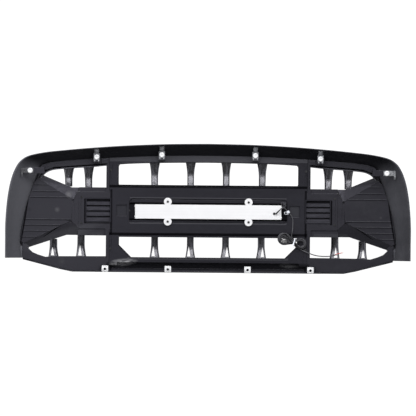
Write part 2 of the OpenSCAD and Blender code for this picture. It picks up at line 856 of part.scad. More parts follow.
// The hank: a wide lobe and a narrow one, pulled in between them by the cable tie
hank_lobes = [[219.5, -85.5], [266.5, -99.5]];
hank_radii = [18.3, 13.7];
hank_depths = [-14.5, -4.5];
hank_run = hank_lobes[1] - hank_lobes[0];
hank_tilt = atan2(hank_run[1], hank_run[0]);
tie_at = hank_lobes[0] + 0.6 * hank_run;
waist = 9.5;

module cable_gland() {
    color(gloss_colour)
        union() {
            rod_y(gland_x, bar_back_y - 3.5, gland_z, 12, 3.4);
            rod_y(gland_x, bar_back_y - 3.5, gland_z, 5.8, 6.6);
            hull() {
                translate([gland_x - 3, bar_back_y - 3.6, gland_z - 2])
                    sphere(d = 7, $fn = 24);
                translate(with_depth(lead_points[0]) + [-3, 0, -2.4])
                    sphere(d = 4.8, $fn = 24);
            }
        }
}
module cord_lead() {
    color(gloss_colour)
        tube(lead_points, cord_d, 2, 8);
}
module cord_tail() {
    color(gloss_colour)
        tube(tail_points, cord_d, 2, 8);
}
// Places the children on the hank's plane at a point, turned along the hank.
module on_hank(at) {
    translate([at[0], bow_at(tie_at[0], 0), at[1]])
        rotate([0, -hank_tilt, 0])
            children();
}
module cord_hank() {
    half = norm(hank_run) / 2;
    color(gloss_colour)
        on_hank((hank_lobes[0] + hank_lobes[1]) / 2)
            slab(hank_depths[0], hank_depths[1])
                for (side = [0, 1])
                    hull() {
                        translate([(2 * side - 1) * half, 0])
                            circle(r = hank_radii[side], $fn = 48);
                        translate([tie_at[0] - (hank_lobes[0][0] + hank_lobes[1][0]) / 2, 0])
                            circle(r = waist - 1, $fn = 48);
                    }
}
module cable_tie() {
    color(white_colour)
        on_hank(tie_at)
            difference() {
                block([-1.4, hank_depths[0] - 1.4, -waist - 0.6], [1.4, hank_depths[1] + 1.4, waist + 0.6]);
                block([-2, hank_depths[0] - 0.05, -waist + 0.8], [2, hank_depths[1] + 0.05, waist - 0.8]);
            }
}
module wire_end(offset_z, rise) {
    start = with_depth(tail_points[len(tail_points) - 1]) + [0.2, 0, offset_z];
    translate(start)
        rotate([0, 90 - rise, 0]) {
            cylinder(d = 1.4, h = 16, $fn = 16);
            translate([0, 0, 16])
                cylinder(d = 0.9, h = 9, $fn = 16);
        }
}
module red_wire_end() {
    color("red")
        wire_end(0.75, 13);
}
module black_wire_end() {
    color(gloss_colour)
        wire_end(-0.75, 4);
}
// The ring clip stands around the cord; its foot is screwed to the floor of the recess.
clip_at = [230, -9];
clip_screw_at = [223.2, -12];
clip_twin_at = [-226.8, -8.5];
clip_slant = 45;
foot_y = bow_at(clip_at[0], -1.4);
twin_y = bow_at(clip_twin_at[0], floor_depth) - 0.05;
module cable_ring_clip() {
    color(white_colour)
        difference() {
            union() {
                translate(clip_place())
                    rotate([0, 90 + clip_slant, 0])
                        translate([0, 0, -3])
                            cylinder(d = 9, h = 6, $fn = fine);
                block([clip_screw_at[0] - 4.2, foot_y, clip_screw_at[1] - 4.2],
                    [clip_at[0] + 2, foot_y + 1.6, clip_at[1] + 2]);
            }
            translate(clip_place())
                rotate([0, 90 + clip_slant, 0])
                    translate([0, 0, -6])
                        cylinder(d = cord_d + 0.6, h = 12, $fn = fine);
            rod_y(clip_screw_at[0], foot_y - 1, clip_screw_at[1], 3.4, 4);
        }
}
function clip_place() = [clip_at[0], bow_at(clip_at[0], -6.3), clip_at[1]];
// One screw through the clip's foot, and its twin at the other end of the light bar
module recess_screws() {
    color(gloss_colour) {
        screw_y(clip_screw_at[0], foot_y - 0.05, clip_screw_at[1], 5.6, 1.8, 3, 4);
        screw_y(clip_twin_at[0], twin_y, clip_twin_at[1], 5.6, 1.8, 3, 2.4);
    }
}

// --- Clip nuts and screws ---

nut_t = 1.2;
// A sheet-metal clip over a plate at y, with a threaded collar behind it
module clip_nut(x, y, z, w, low, high, plate_t, open_up) {
    fold_z = open_up ? z + low : z + high;
    difference() {
        union() {
            block([x - w / 2, y - nut_t, z + low], [x + w / 2, y, z + high]);
            block([x - w / 2, y + plate_t, z + low], [x + w / 2, y + plate_t + nut_t, z + high]);
            block([x - w / 2, y - nut_t, open_up ? fold_z - nut_t : fold_z],
                [x + w / 2, y + plate_t + nut_t, open_up ? fold_z : fold_z + nut_t]);
            rod_y(x, y - nut_t - 3.6, z, 14.6, 4);
        }
        rod_y(x, y - 20, z, nut_d, 40);
    }
}
module top_clip_nut(x, z) {
    clip_nut(x, bow_at(x, -tower_depth) - 0.05, z, 17, -15.2, 11, skin + 0.1, true);
}
module top_inner_clip_nuts() {
    color(steel_colour)
        both_sides()
            top_clip_nut(top_inner_x, top_inner_z);
}
module top_outer_clip_nuts() {
    color(steel_colour)
        both_sides()
            top_clip_nut(top_outer_x, top_outer_z);
}
module corner_clip_nuts() {
    y = bow_at(corner_x, -corner_depth) - 0.05;
    end_x = corner_x + 12.1;
    color(steel_colour)
        both_sides()
            difference() {
                union() {
                    block([corner_x - 10, y - nut_t, corner_z - 7.5], [end_x + 14, y, corner_z + 7.5]);
                    block([corner_x - 10, y + skin + 0.1, corner_z - 7.5],
                        [end_x + nut_t, y + skin + 0.1 + nut_t, corner_z + 7.5]);
                    block([end_x, y - nut_t, corner_z - 7.5], [end_x + nut_t, y + skin + 1, corner_z + 7.5]);
                    block([end_x + 8, y - nut_t, corner_z - 18], [end_x + 14, y, corner_z]);
                    rod_y(corner_x, y - nut_t - 3.6, corner_z, 14.6, 4);
                }
                rod_y(corner_x, y - 20, corner_z, nut_d, 40);
            }
}
module bottom_clip_nut(x) {
    clip_nut(x, bow_at(x, -lip_depth) - 0.05, nut_bottom_z, 18.6, -7.5, 9.6, 2.6, false);
}
module bottom_inner_clip_nuts() {
    color(steel_colour)
        both_sides()
            bottom_clip_nut(bottom_inner_x);
}
module bottom_outer_clip_nuts() {
    color(steel_colour)
        both_sides()
            bottom_clip_nut(bottom_outer_x);
}
module frame_screws() {
    color(gloss_colour)
        both_sides()
            for (z = frame_screw_zs)
                screw_y(post_x - 5, bow_at(post_x - 5, -0.1), z, 7, 2, 3.4, 8);
}
module wing_screws() {
    color(gloss_colour)
        both_sides()
            for (z = [30, -45])
                screw_y(joint_x - 8, bow_at(joint_x - 8, -0.1), z, 6, 1.6, 3.4, 8);
}

outer_surround();
lower_valance();
centre_frame();
side_frame(-1);  // left_side_frame
side_frame(1);  // right_side_frame
wing(-1);  // left_wing
wing(1);  // right_wing
vent(-1);  // left_vent
vent(1);  // right_vent
centre_fascia();
for (i = [1 : 8])
    strut(upper_struts[i - 1], true);
for (i = [1 : 8])
    lower_strut(lower_struts[i - 1]);
light_housing();
light_end_cap(-1);  // left_light_end_cap
light_end_cap(1);  // right_light_end_cap
light_circuit_board();
light_leds();
light_reflector();
light_gasket();
light_lens();
light_mounting_screws();
light_end_cap_screws();
cable_gland();
cord_lead();
cord_hank();
cord_tail();
cable_tie();
red_wire_end();
black_wire_end();
cable_ring_clip();
recess_screws();
top_inner_clip_nuts();
top_outer_clip_nuts();
corner_clip_nuts();
bottom_inner_clip_nuts();
bottom_outer_clip_nuts();
frame_screws();
wing_screws();
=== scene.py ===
"""Looks of a front grille seen from behind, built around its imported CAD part.

Lengths in this script are millimetres in the CAD frame; `MM` turns them into metres where a mesh is made.
"""

import math
import random

import bmesh
import bpy
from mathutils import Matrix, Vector


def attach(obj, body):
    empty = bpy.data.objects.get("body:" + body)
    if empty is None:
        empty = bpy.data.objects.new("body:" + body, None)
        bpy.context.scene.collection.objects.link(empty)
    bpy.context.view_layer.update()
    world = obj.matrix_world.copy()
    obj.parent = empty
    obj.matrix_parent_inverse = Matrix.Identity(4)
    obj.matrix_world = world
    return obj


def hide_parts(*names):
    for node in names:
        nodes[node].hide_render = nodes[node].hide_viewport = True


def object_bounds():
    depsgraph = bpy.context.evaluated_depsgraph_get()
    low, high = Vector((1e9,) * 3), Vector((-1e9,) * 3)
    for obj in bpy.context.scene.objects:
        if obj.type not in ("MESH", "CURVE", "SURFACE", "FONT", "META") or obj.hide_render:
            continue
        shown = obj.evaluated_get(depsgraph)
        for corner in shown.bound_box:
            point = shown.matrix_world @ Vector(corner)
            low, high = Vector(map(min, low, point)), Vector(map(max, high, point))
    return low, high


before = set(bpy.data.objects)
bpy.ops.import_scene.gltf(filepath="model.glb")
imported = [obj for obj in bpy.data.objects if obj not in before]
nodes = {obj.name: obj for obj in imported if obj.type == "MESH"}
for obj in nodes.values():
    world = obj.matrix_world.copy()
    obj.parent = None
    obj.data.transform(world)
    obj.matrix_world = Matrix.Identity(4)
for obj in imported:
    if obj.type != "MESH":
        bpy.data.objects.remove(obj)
cad_low, cad_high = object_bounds()
scene = bpy.context.scene

MM = 0.001
HALF_W = 580.5
BOW_R = 3000.0
RIM_DEPTH = 50.0
FASCIA_DEPTH = 34.0
BOW_Y = (BOW_R - math.sqrt((BOW_R - RIM_DEPTH) ** 2 - HALF_W ** 2) - FASCIA_DEPTH) / 2


def bow_at(x, depth=0.0):
    """y of the bowed back face at x, `depth` further forward."""
    return BOW_Y - BOW_R + math.sqrt((BOW_R + depth) ** 2 - x * x)


def on_bow(x, depth, z):
    return Vector((x, bow_at(x, depth), z))


def spline(points, steps):
    """Catmull-Rom curve through points, `steps` samples per span."""
    points = [Vector(p) for p in points]
    out = []
    for i in range(len(points) - 1):
        a, b = points[max(i - 1, 0)], points[i]
        c, d = points[i + 1], points[min(i + 2, len(points) - 1)]
        for k in range(steps):
            t = k / steps
            out.append(0.5 * (2 * b + (c - a) * t + (2 * a - 5 * b + 4 * c - d) * t * t
                              + (3 * b - a - 3 * c + d) * t ** 3))
    out.append(points[-1])
    return out


# --- Camera -----------------------------------------------------------------------------------------

# A long lens from far away, a hair off the middle and half a degree out of level
camera_data = bpy.data.cameras.new("camera")
camera_data.sensor_width = 36
camera_data.lens = 482
camera_data.clip_start = 0.1
camera_data.clip_end = 500
camera = bpy.data.objects.new("camera", camera_data)
scene.collection.objects.link(camera)
camera.location = (-0.0006, -16.0, 0.001)
camera.rotation_euler = (math.radians(90), math.radians(-0.5), 0)
scene.camera = camera
scene.view_settings.view_transform = "Standard"


# --- Mesh helpers -----------------------------------------------------------------------------------

class Shape:
    """Collects the vertices and faces of one piece."""

    def __init__(self):
        self.verts, self.faces = [], []

    def add(self, verts, faces):
        base = len(self.verts)
        self.verts += [Vector(v) for v in verts]
        self.faces += [tuple(base + i for i in f) for f in faces]
        return self

    def loft(self, rings, around=True, caps=True):
        """Skin over rings that have the same number of points each."""
        n = len(rings[0])
        faces = []
        for i in range(len(rings) - 1):
            for j in range(n if around else n - 1):
                k = (j + 1) % n
                faces.append((i * n + j, i * n + k, (i + 1) * n + k, (i + 1) * n + j))
        if caps:
            faces.append(tuple(range(n)))
            faces.append(tuple((len(rings) - 1) * n + j for j in range(n)))
        return self.add([p for ring in rings for p in ring], faces)

    def loop(self, rings):
        """Skin over rings whose last is joined to the first."""
        n, m = len(rings[0]), len(rings)
        faces = [(i * n + j, i * n + (j + 1) % n, (i + 1) % m * n + (j + 1) % n, (i + 1) % m * n + j)
                 for i in range(m) for j in range(n)]
        return self.add([p for ring in rings for p in ring], faces)

    def turned(self, profile, origin, axis, sides=40, closed=False):
        """Revolves (radius, distance along axis) pairs; `closed` joins the last pair to the first."""
        axis = Vector(axis).normalized()
        u = axis.orthogonal().normalized()
        v = axis.cross(u)
        origin = Vector(origin)
        rings = []
        for k in range(sides):
            a = 2 * math.pi * k / sides
            out = math.cos(a) * u + math.sin(a) * v
            rings.append([origin + r * out + h * axis for r, h in profile])
        n = len(profile)
        faces = [(i * n + j, i * n + (j + 1) % n, (i + 1) % sides * n + (j + 1) % n, (i + 1) % sides * n + j)
                 for i in range(sides) for j in range(n if closed else n - 1)]
        return self.add([p for ring in rings for p in ring], faces)

    def tube(self, path, radius, sides=16):
        """A round tube along a path; radius is a number or a function of the share of the length."""
        rings = []
        last = len(path) - 1
        side = None
        for i, p in enumerate(path):
            along = (path[min(i + 1, last)] - path[max(i - 1, 0)]).normalized()
            if side is None:
                side = along.orthogonal().normalized()
            side = (side - side.dot(along) * along).normalized()
            up = along.cross(side)
            r = radius(i / last) if callable(radius) else radius
            rings.append([p + r * (math.cos(a) * side + math.sin(a) * up)
                          for a in (2 * math.pi * j / sides for j in range(sides))])
        return self.loft(rings)

    def strap(self, path, width, thick, across):
        """A flat strap along a path; `across` is the direction of its width."""
        rings = []
        last = len(path) - 1
        across = Vector(across)
        for i, p in enumerate(path):
            along = (path[min(i + 1, last)] - path[max(i - 1, 0)]).normalized()
            side = (across - across.dot(along) * along).normalized()
            up = along.cross(side)
            w, t, r = width / 2, thick / 2, min(thick, width) * 0.25
            outline = [(w, t - r), (w - r, t), (-w + r, t), (-w, t - r), (-w, -t + r), (-w + r, -t),
                       (w - r, -t), (w, -t + r)]
            rings.append([p + a * side + b * up for a, b in outline])
        return self.loft(rings)

    def plate(self, outline, hole, hole_r, y, thick, n=48):
        """A plate with one round hole, its back at y; the outline is convex, in x and z."""
        centre = Vector(hole)
        corners = [Vector(p) for p in outline]
        rim, inner = [], []
        for k in range(n):
            a = 2 * math.pi * (k + 0.5) / n
            ray = Vector((math.cos(a), math.sin(a)))
            reach = None
            for p, q in zip(corners, corners[1:] + corners[:1]):
                edge, to = q - p, p - centre
                det = ray.x * edge.y - ray.y * edge.x
                if abs(det) < 1e-9:
                    continue
                t = (to.x * edge.y - to.y * edge.x) / det
                share = (to.x * ray.y - to.y * ray.x) / det
                if t > 0 and -1e-6 <= share <= 1 + 1e-6 and (reach is None or t < reach):
                    reach = t
            rim.append(centre + ray * reach)
            inner.append(centre + hole_r * ray)
        return self.loop([[Vector((p.x, y + d, p.y)) for p in line]
                          for line, d in ((rim, 0), (rim, thick), (inner, thick), (inner, 0))])


def rounded(x0, z0, x1, z1, r, n=5):
    """Outline of a rectangle with round corners."""
    out = []
    centres = ((x1 - r, z1 - r), (x0 + r, z1 - r), (x0 + r, z0 + r), (x1 - r, z0 + r))
    for (cx, cz), start in zip(centres, (0, 90, 180, 270)):
        for k in range(n + 1):
            a = math.radians(start + 90 * k / n)
            out.append((cx + r * math.cos(a), cz + r * math.sin(a)))
    return out


def mesh_of(name, shape, weld):
    """A clean mesh in metres: points closer than `weld` metres joined, all faces outward."""
    mesh = bpy.data.meshes.new(name)
    mesh.from_pydata([v * MM for v in shape.verts], [], shape.faces)
    bm = bmesh.new()
    bm.from_mesh(mesh)
    bmesh.ops.remove_doubles(bm, verts=bm.verts, dist=weld)
    bmesh.ops.recalc_face_normals(bm, faces=bm.faces)
    bm.to_mesh(mesh)
    bm.free()
    return mesh


def piece(name, shape, material, replaces=(), sharp=38, bevel=None, segments=3):
    """Makes one piece of the object from a Shape and hangs it on the root body."""
    mesh = mesh_of(name, shape, 5e-7)
    mesh.materials.append(material)
    mesh.shade_smooth()
    mesh.set_sharp_from_angle(angle=math.radians(sharp))
    obj = bpy.data.objects.new(name, mesh)
    scene.collection.objects.link(obj)
    if bevel:
        add_bevel(obj, bevel, segments, 40)
    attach(obj, "root")
    if replaces:
        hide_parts(*replaces)
    return obj


def add_bevel(obj, width, segments, angle):
    """Rounds the edges that are sharper than the angle, in degrees."""
    modifier = obj.modifiers.new("bevel", "BEVEL")
    modifier.width = width * MM
    modifier.segments = segments
    modifier.limit_method = "ANGLE"
    modifier.angle_limit = math.radians(angle)
    modifier.use_clamp_overlap = False
    modifier.harden_normals = False
    normals = obj.modifiers.new("normals", "WEIGHTED_NORMAL")
    normals.keep_sharp = True
    normals.weight = 100


def cut(obj, shape):
    """Takes a closed shape out of a piece's mesh."""
    cutter = bpy.data.objects.new("cutter", mesh_of("cutter", shape, 1e-7))
    scene.collection.objects.link(cutter)
    modifier = obj.modifiers.new("cut", "BOOLEAN")
    modifier.object = cutter
    modifier.solver = "EXACT"
    bpy.context.view_layer.update()
    made = bpy.data.meshes.new_from_object(obj.evaluated_get(bpy.context.evaluated_depsgraph_get()))
    obj.modifiers.remove(modifier)
    obj.data = made
    bpy.data.objects.remove(cutter)


# --- Materials --------------------------------------------------------------------------------------

class Look:
    """One node material. Its patterns are in metres in the object's own coordinates."""

    def __init__(self, name):
        self.material = bpy.data.materials.new(name)
        self.material.use_nodes = True
        self.tree = self.material.node_tree
        self.shader = self.tree.nodes["Principled BSDF"]
        self.place = self.tree.nodes.new("ShaderNodeTexCoord").outputs["Object"]
        self.heights = []

    def link(self, a, b):
        self.tree.links.new(a, b)

    def set(self, **values):
        for key, value in values.items():
            self.shader.inputs[key.replace("_", " ")].default_value = value
        return self

    def stretched(self, scale, turn=(0, 0, 0)):
        node = self.tree.nodes.new("ShaderNodeMapping")
        node.inputs["Scale"].default_value = scale
        node.inputs["Rotation"].default_value = turn
        self.link(self.place, node.inputs["Vector"])
        return node.outputs["Vector"]

    def noise(self, scale, detail=2.0, rough=0.5, vector=None, warp=0.0):
        node = self.tree.nodes.new("ShaderNodeTexNoise")
        node.inputs["Scale"].default_value = scale
        node.inputs["Detail"].default_value = detail
        node.inputs["Roughness"].default_value = rough
        node.inputs["Distortion"].default_value = warp
        self.link(vector or self.place, node.inputs["Vector"])
        return node.outputs["Fac"]

    def cell_edges(self, scale, vector):
        """Distance to the edges of irregular cells."""
        node = self.tree.nodes.new("ShaderNodeTexVoronoi")
        node.feature = "DISTANCE_TO_EDGE"
        node.inputs["Scale"].default_value = scale
        self.link(vector, node.inputs["Vector"])
        return node.outputs["Distance"]

    def math(self, operation, a, b=0.5, clamp=False):
        node = self.tree.nodes.new("ShaderNodeMath")
        node.operation = operation
        node.use_clamp = clamp
        for socket, value in zip(node.inputs, (a, b)):
            if isinstance(value, (int, float)):
                socket.default_value = value
            else:
                self.link(value, socket)
        return node.outputs[0]

    def times(self, a, b):
        return self.math("MULTIPLY", a, b)

    def span(self, value, low, high, start=0.0, end=1.0):
        """Maps value from start..end to low..high, clamped."""
        node = self.tree.nodes.new("ShaderNodeMapRange")
        node.inputs["From Min"].default_value = start
        node.inputs["From Max"].default_value = end
        node.inputs["To Min"].default_value = low
        node.inputs["To Max"].default_value = high
        self.link(value, node.inputs["Value"])
        return node.outputs["Result"]

    def facing(self, axis):
        """How far the surface faces along an axis (0, 1 or 2), -1 to 1."""
        node = self.tree.nodes.new("ShaderNodeSeparateXYZ")
        self.link(self.tree.nodes.new("ShaderNodeTexCoord").outputs["Normal"], node.inputs[0])
        return node.outputs[axis]

    def near(self, axis, low, high, soft):
        """1 between two places along an axis, falling to 0 over `soft` metres on both sides."""
        node = self.tree.nodes.new("ShaderNodeSeparateXYZ")
        self.link(self.place, node.inputs[0])
        value = node.outputs["XYZ".index(axis)]
        rise = self.span(value, 0, 1, low - soft, low)
        return self.times(rise, self.span(value, 1, 0, high, high + soft))

    def spot(self, x, z, radius, soft, flat=1.0, tilt=0.0):
        """1 within radius of a place, falling to 0 over `soft` metres; `flat` times as long at its tilt."""
        node = self.tree.nodes.new("ShaderNodeSeparateXYZ")
        self.link(self.place, node.inputs[0])
        c, s = math.cos(math.radians(tilt)), math.sin(math.radians(tilt))
        px = self.math("SUBTRACT", node.outputs[0], x)
        pz = self.math("SUBTRACT", node.outputs[2], z)
        along = self.math("ADD", self.times(px, c), self.times(pz, s))
        dx = self.times(along, 1 / flat)
        dz = self.math("SUBTRACT", self.times(pz, c), self.times(px, s))
        away = self.math("ADD", self.times(dx, dx), self.times(dz, dz))
        return self.span(self.math("SQRT", away), 1, 0, radius, radius + soft)

    def blend(self, share, a, b):
        node = self.tree.nodes.new("ShaderNodeMix")
        node.data_type = "RGBA"
        colours = [s for s in node.inputs if s.type == "RGBA"]
        for socket, value in zip(colours, (a, b)):
            if isinstance(value, (tuple, list)):
                socket.default_value = (*value, 1) if len(value) == 3 else value
            else:
                self.link(value, socket)
        self.link(share, node.inputs[0])
        return [s for s in node.outputs if s.type == "RGBA"][0]

    def mottled(self, scale, detail, dark, light, start=0.35, end=0.65):
        """A colour that drifts between two tones."""
        return self.blend(self.span(self.noise(scale, detail), 0, 1, start, end), dark, light)

    def colour(self, source):
        self.link(source, self.shader.inputs["Base Color"])
        return self

    def roughness(self, source):
        self.link(source, self.shader.inputs["Roughness"])
        return self

    def wear(self, pattern, low, high, start=0.35, end=0.65):
        """Roughness that follows a pattern."""
        return self.roughness(self.span(pattern, low, high, start, end))

    def bump(self, height, distance, strength=1.0):
        """Adds a layer of relief; distance is its height in metres."""
        node = self.tree.nodes.new("ShaderNodeBump")
        node.inputs["Distance"].default_value = distance
        node.inputs["Strength"].default_value = strength
        self.link(height, node.inputs["Height"])
        if self.heights:
            self.link(self.heights[-1], node.inputs["Normal"])
        self.heights.append(node.outputs["Normal"])
        self.link(node.outputs["Normal"], self.shader.inputs["Normal"])
        return self


# Colours of painted shade, for gaps and grooves and for shaded edges and joints
GAP_SHADE = (0.001, 0.001, 0.0014)
SHADE = (0.0012, 0.0012, 0.0016)

# Paler and darker spots on the panels, made patchy by noise; the pale ones along the left wing's upper fold
# are a painted highlight: x, z, radius and soft edge in metres, strength, colour
PANEL_SPOTS = [
    (-0.4, 0.037, 0.003, 0.010, 0.8, (0.12, 0.12, 0.125)),
    (-0.4335, -0.007, 0.002, 0.007, 0.8, (0.1, 0.1, 0.105)),
    (-0.513, -0.0085, 0.001, 0.006, 0.6, (0.003, 0.003, 0.003)),
    (-0.47, -0.03, 0.01, 0.05, 0.25, (0.03, 0.03, 0.032)),
    (0.496, -0.023, 0.001, 0.004, 0.3, (0.08, 0.08, 0.083)),
    (0.525, -0.045, 0.001, 0.004, 0.3, (0.08, 0.08, 0.083)),
    (0.455, 0.0, 0.01, 0.05, 0.2, (0.03, 0.03, 0.032)),
    (-0.478, 0.060, 0.004, 0.02, 0.5, (0.045, 0.045, 0.048)),
    (-0.42, -0.155, 0.002, 0.010, 0.7, (0.04, 0.04, 0.042)),
    (0.31, 0.004, 0.001, 0.004, 0.7, (0.08, 0.08, 0.083)),
]

# Painted shade and painted light on the panels: dark bands where beam edges, grooves, joints, the vents'
# outlines and the bottom channel lie in shade, paler strips where rails, ridge edges, recess corners, the
# pads by the outer top clips and the valance's top edge catch the light. x range, z range and soft edge in
# metres, strength, colour
SHADE_AND_LIGHT_ZONES = [
    ((-0.284, 0.284), (0.0585, 0.0645), 0.0015, 0.85, SHADE),
    ((-0.284, 0.284), (-0.0785, -0.0725), 0.0015, 0.8, SHADE),
    ((-0.2265, 0.2265), (0.0100, 0.0148), 0.001, 0.95, GAP_SHADE),
    ((-0.2265, 0.2265), (-0.0355, -0.0315), 0.001, 0.95, GAP_SHADE),
    ((0.2065, 0.2265), (-0.034, 0.0140), 0.001, 0.8, GAP_SHADE),
    ((-0.2265, -0.2095), (-0.034, 0.0140), 0.001, 0.6, GAP_SHADE),
    ((-0.284, 0.284), (0.134, 0.151), 0.002, 1.0, (0.048, 0.048, 0.054)),
    ((-0.46, -0.29), (0.118, 0.146), 0.004, 0.5, (0.030, 0.030, 0.034)),
    ((0.29, 0.46), (0.118, 0.146), 0.004, 0.4, (0.024, 0.024, 0.0275)),
    ((-0.225, 0.225), (0.0278, 0.0300), 0.001, 0.6, (0.06, 0.06, 0.067)),
    ((-0.225, 0.225), (-0.0455, -0.0432), 0.001, 0.6, (0.06, 0.06, 0.067)),
    ((0.2365, 0.2605), (-0.0215, 0.0065), 0.001, 0.55, (0.032, 0.033, 0.036)),
    ((-0.2625, -0.232), (-0.0215, 0.0065), 0.001, 0.25, (0.032, 0.033, 0.036)),
    ((0.306, 0.40), (-0.0845, -0.072), 0.002, 0.5, (0.036, 0.037, 0.041)),
    ((-0.40, -0.306), (-0.0845, -0.072), 0.002, 0.25, (0.036, 0.037, 0.041)),
    ((-0.23, 0.23), (-0.1475, -0.1425), 0.002, 0.6, (0.05, 0.05, 0.056)),
    ((-0.29, 0.29), (-0.1745, -0.160), 0.004, 0.55, (0.0015, 0.0015, 0.002)),
    ((0.292, 0.307), (0.137, 0.153), 0.001, 0.5, (0.04, 0.04, 0.045)),
    ((-0.309, -0.294), (0.137, 0.153), 0.001, 0.5, (0.04, 0.04, 0.045)),
    ((0.2785, 0.2830), (-0.084, 0.052), 0.001, 0.8, SHADE),
    ((-0.2815, -0.2765), (-0.078, 0.052), 0.001, 0.75, SHADE),
    ((0.3515, 0.3560), (-0.045, 0.023), 0.001, 0.9, SHADE),
    ((-0.3560, -0.3515), (-0.045, 0.023), 0.001, 0.9, SHADE),
    ((0.283, 0.356), (0.0215, 0.0250), 0.001, 0.8, SHADE),
    ((-0.356, -0.283), (0.0215, 0.0250), 0.001, 0.8, SHADE),
    ((-0.356, -0.283), (-0.0465, -0.0430), 0.001, 0.6, SHADE),
]

# The shaded gap along the outer edge of a wing: x and z of two stretches in metres, how long, tilt in degrees
WING_EDGE = [(0.5075, 0.056, 15, -72), (0.527, -0.039, 30, -81)]

# Peg holes by the right wing, painted dark as the shade inside them: x and z in metres
PEG_HOLES = [(0.389, 0.02), (0.395, -0.04)]


def add_painted_zones_and_spots(look, base, sheen, polish, wear):
    """Adds painted shade, painted light and spots on the backs of the panels to colour, sheen and roughness,
    and returns the three.
    """
    back = look.span(look.facing(1), 1, 0, -0.6, -0.2)
    # Painted shade and painted light over zones of the panels
    for (x0, x1), (z0, z1), soft, share, colour in SHADE_AND_LIGHT_ZONES:
        inside = look.times(look.near("X", x0, x1, soft), look.near("Z", z0, z1, soft))
        inside = look.times(inside, look.times(back, share))
        base = look.blend(inside, base, colour)
        if max(colour) < 0.003:
            sheen = look.times(sheen, look.span(inside, 1, 0))
    # Scuffed places low on the centre frame, pale in streaks: real scuffing, its brightness a painted glint
    faint = look.times(look.spot(0.232, -0.164, 0.001, 0.008, 3.5, -4), 0.4)
    scuff_glint_patch = look.math("ADD", look.spot(-0.243, -0.157, 0.003, 0.010, 3.4, 6), faint, clamp=True)
    lines = look.noise(130, 3, 0.55, look.stretched((0.3, 1, 1.6), (0, -0.25, 0)), 0.5)
    scuff_glint_patch = look.times(scuff_glint_patch, back)
    scuffs_and_glint = look.times(look.span(lines, 0, 1, 0.34, 0.62), scuff_glint_patch)
    base = look.blend(scuffs_and_glint, base, (0.42, 0.42, 0.43))
    # A painted reflection in the corner of the recess beside the bar's right end, in a streaky pattern
    corner_reflection = look.noise(330, 2, 0.5, look.stretched((1, 1, 0.5), (0, 0.6, 0)))
    corner_reflection = look.times(look.span(corner_reflection, 0, 1, 0.44, 0.56), look.spot(0.2165, 0.0125, 0.006, 0.005))
    base = look.blend(corner_reflection, base, (0.075, 0.075, 0.085))
    polish = look.math("SUBTRACT", polish, look.times(scuff_glint_patch, 0.12))
    # The paler and darker spots; those along the left wing's upper fold are a painted highlight
    for x, z, radius, soft, share, colour in PANEL_SPOTS:
        patchy = look.span(wear, 0.5 * share, share, 0.4, 0.6)
        spotted = look.times(look.spot(x, z, radius, soft), patchy)
        base = look.blend(look.times(spotted, back), base, colour)
    for side in (-1, 1):
        for x, z, flat, tilt in WING_EDGE:
            edge = look.times(look.spot(side * x, z, 0.0018, 0.0012, flat, side * tilt), back)
            base = look.blend(look.times(edge, 0.85), base, GAP_SHADE)
            sheen = look.times(sheen, look.span(edge, 1, 0.1))
    # The left wing's lower fold faces down and is painted paler: painted light
    fold = look.spot(-0.425, -0.083, 0.010, 0.010, 7, 18)
    base = look.blend(look.times(fold, look.times(back, 0.55)), base, (0.050, 0.050, 0.056))
    # Painted shade in the peg holes
    for x, z in PEG_HOLES:
        base = look.blend(look.spot(x, z, 0.0026, 0.0012), base, (0.0005, 0.0005, 0.0005))
    return base, sheen, polish


def moulded(name, dark, light, rough, grain=0.00004, level=0.3, painted_underside_tone=(0.03, 0.03, 0.035), marks=True,
            dust_and_highlight=0.17):
    """Satin moulded plastic: fine grain, faint flow marks, paler upper faces (a powdery film and a painted
    highlight), a painted tone on faces that look down, the left side painted paler, and painted zones and
    spots on the back.
    """
    look = Look(name)
    look.set(Specular_IOR_Level=level, Specular_Tint=(0.86, 0.85, 1.0, 1.0))
    flow = look.noise(9, 4, 0.55, look.stretched((0.6, 1.5, 2.2)), 0.6)
    wear = look.noise(60, 3, 0.6)
    tone = look.math("ADD", look.times(flow, 0.7), look.times(wear, 0.3))
    base = look.blend(look.span(tone, 0, 1, 0.36, 0.64), dark, light)
    # The left side painted paler: painted light, as more light falls from the left
    base = look.blend(look.near("X", -0.62, -0.40, 0.35), base, tuple(1.5 * c for c in light))
    # Faces that look down get a painted tone: painted light on the panels and louvres, painted shade on the
    # surround's top wall
    base = look.blend(look.span(look.facing(2), 0.85, 0, -0.8, -0.2), base, painted_underside_tone)
    # Faces that look up are paler: a powdery film settled on them, together with a painted highlight on rib
    # and ledge tops
    if dust_and_highlight:
        base = look.blend(look.span(look.facing(2), 0, 0.8, 0.45, 0.8), base, (dust_and_highlight, dust_and_highlight, 1.08 * dust_and_highlight))
    streaks = look.noise(240, 3, 0.65, look.stretched((0.16, 1, 1), (0, 0.35, 0)))
    polish = look.span(streaks, rough - 0.06, rough + 0.09, 0.35, 0.65)
    sheen = look.times(look.span(look.facing(2), 0.25, 1, -0.8, -0.1), level)
    if marks:
        base, sheen, polish = add_painted_zones_and_spots(look, base, sheen, polish, wear)
    look.link(sheen, look.shader.inputs["Specular IOR Level"])
    look.colour(base).roughness(polish)
    look.bump(look.noise(1500, 2, 0.6), grain)
    look.bump(look.noise(70, 2, 0.5), 0.00018, 0.5)
    return look.material


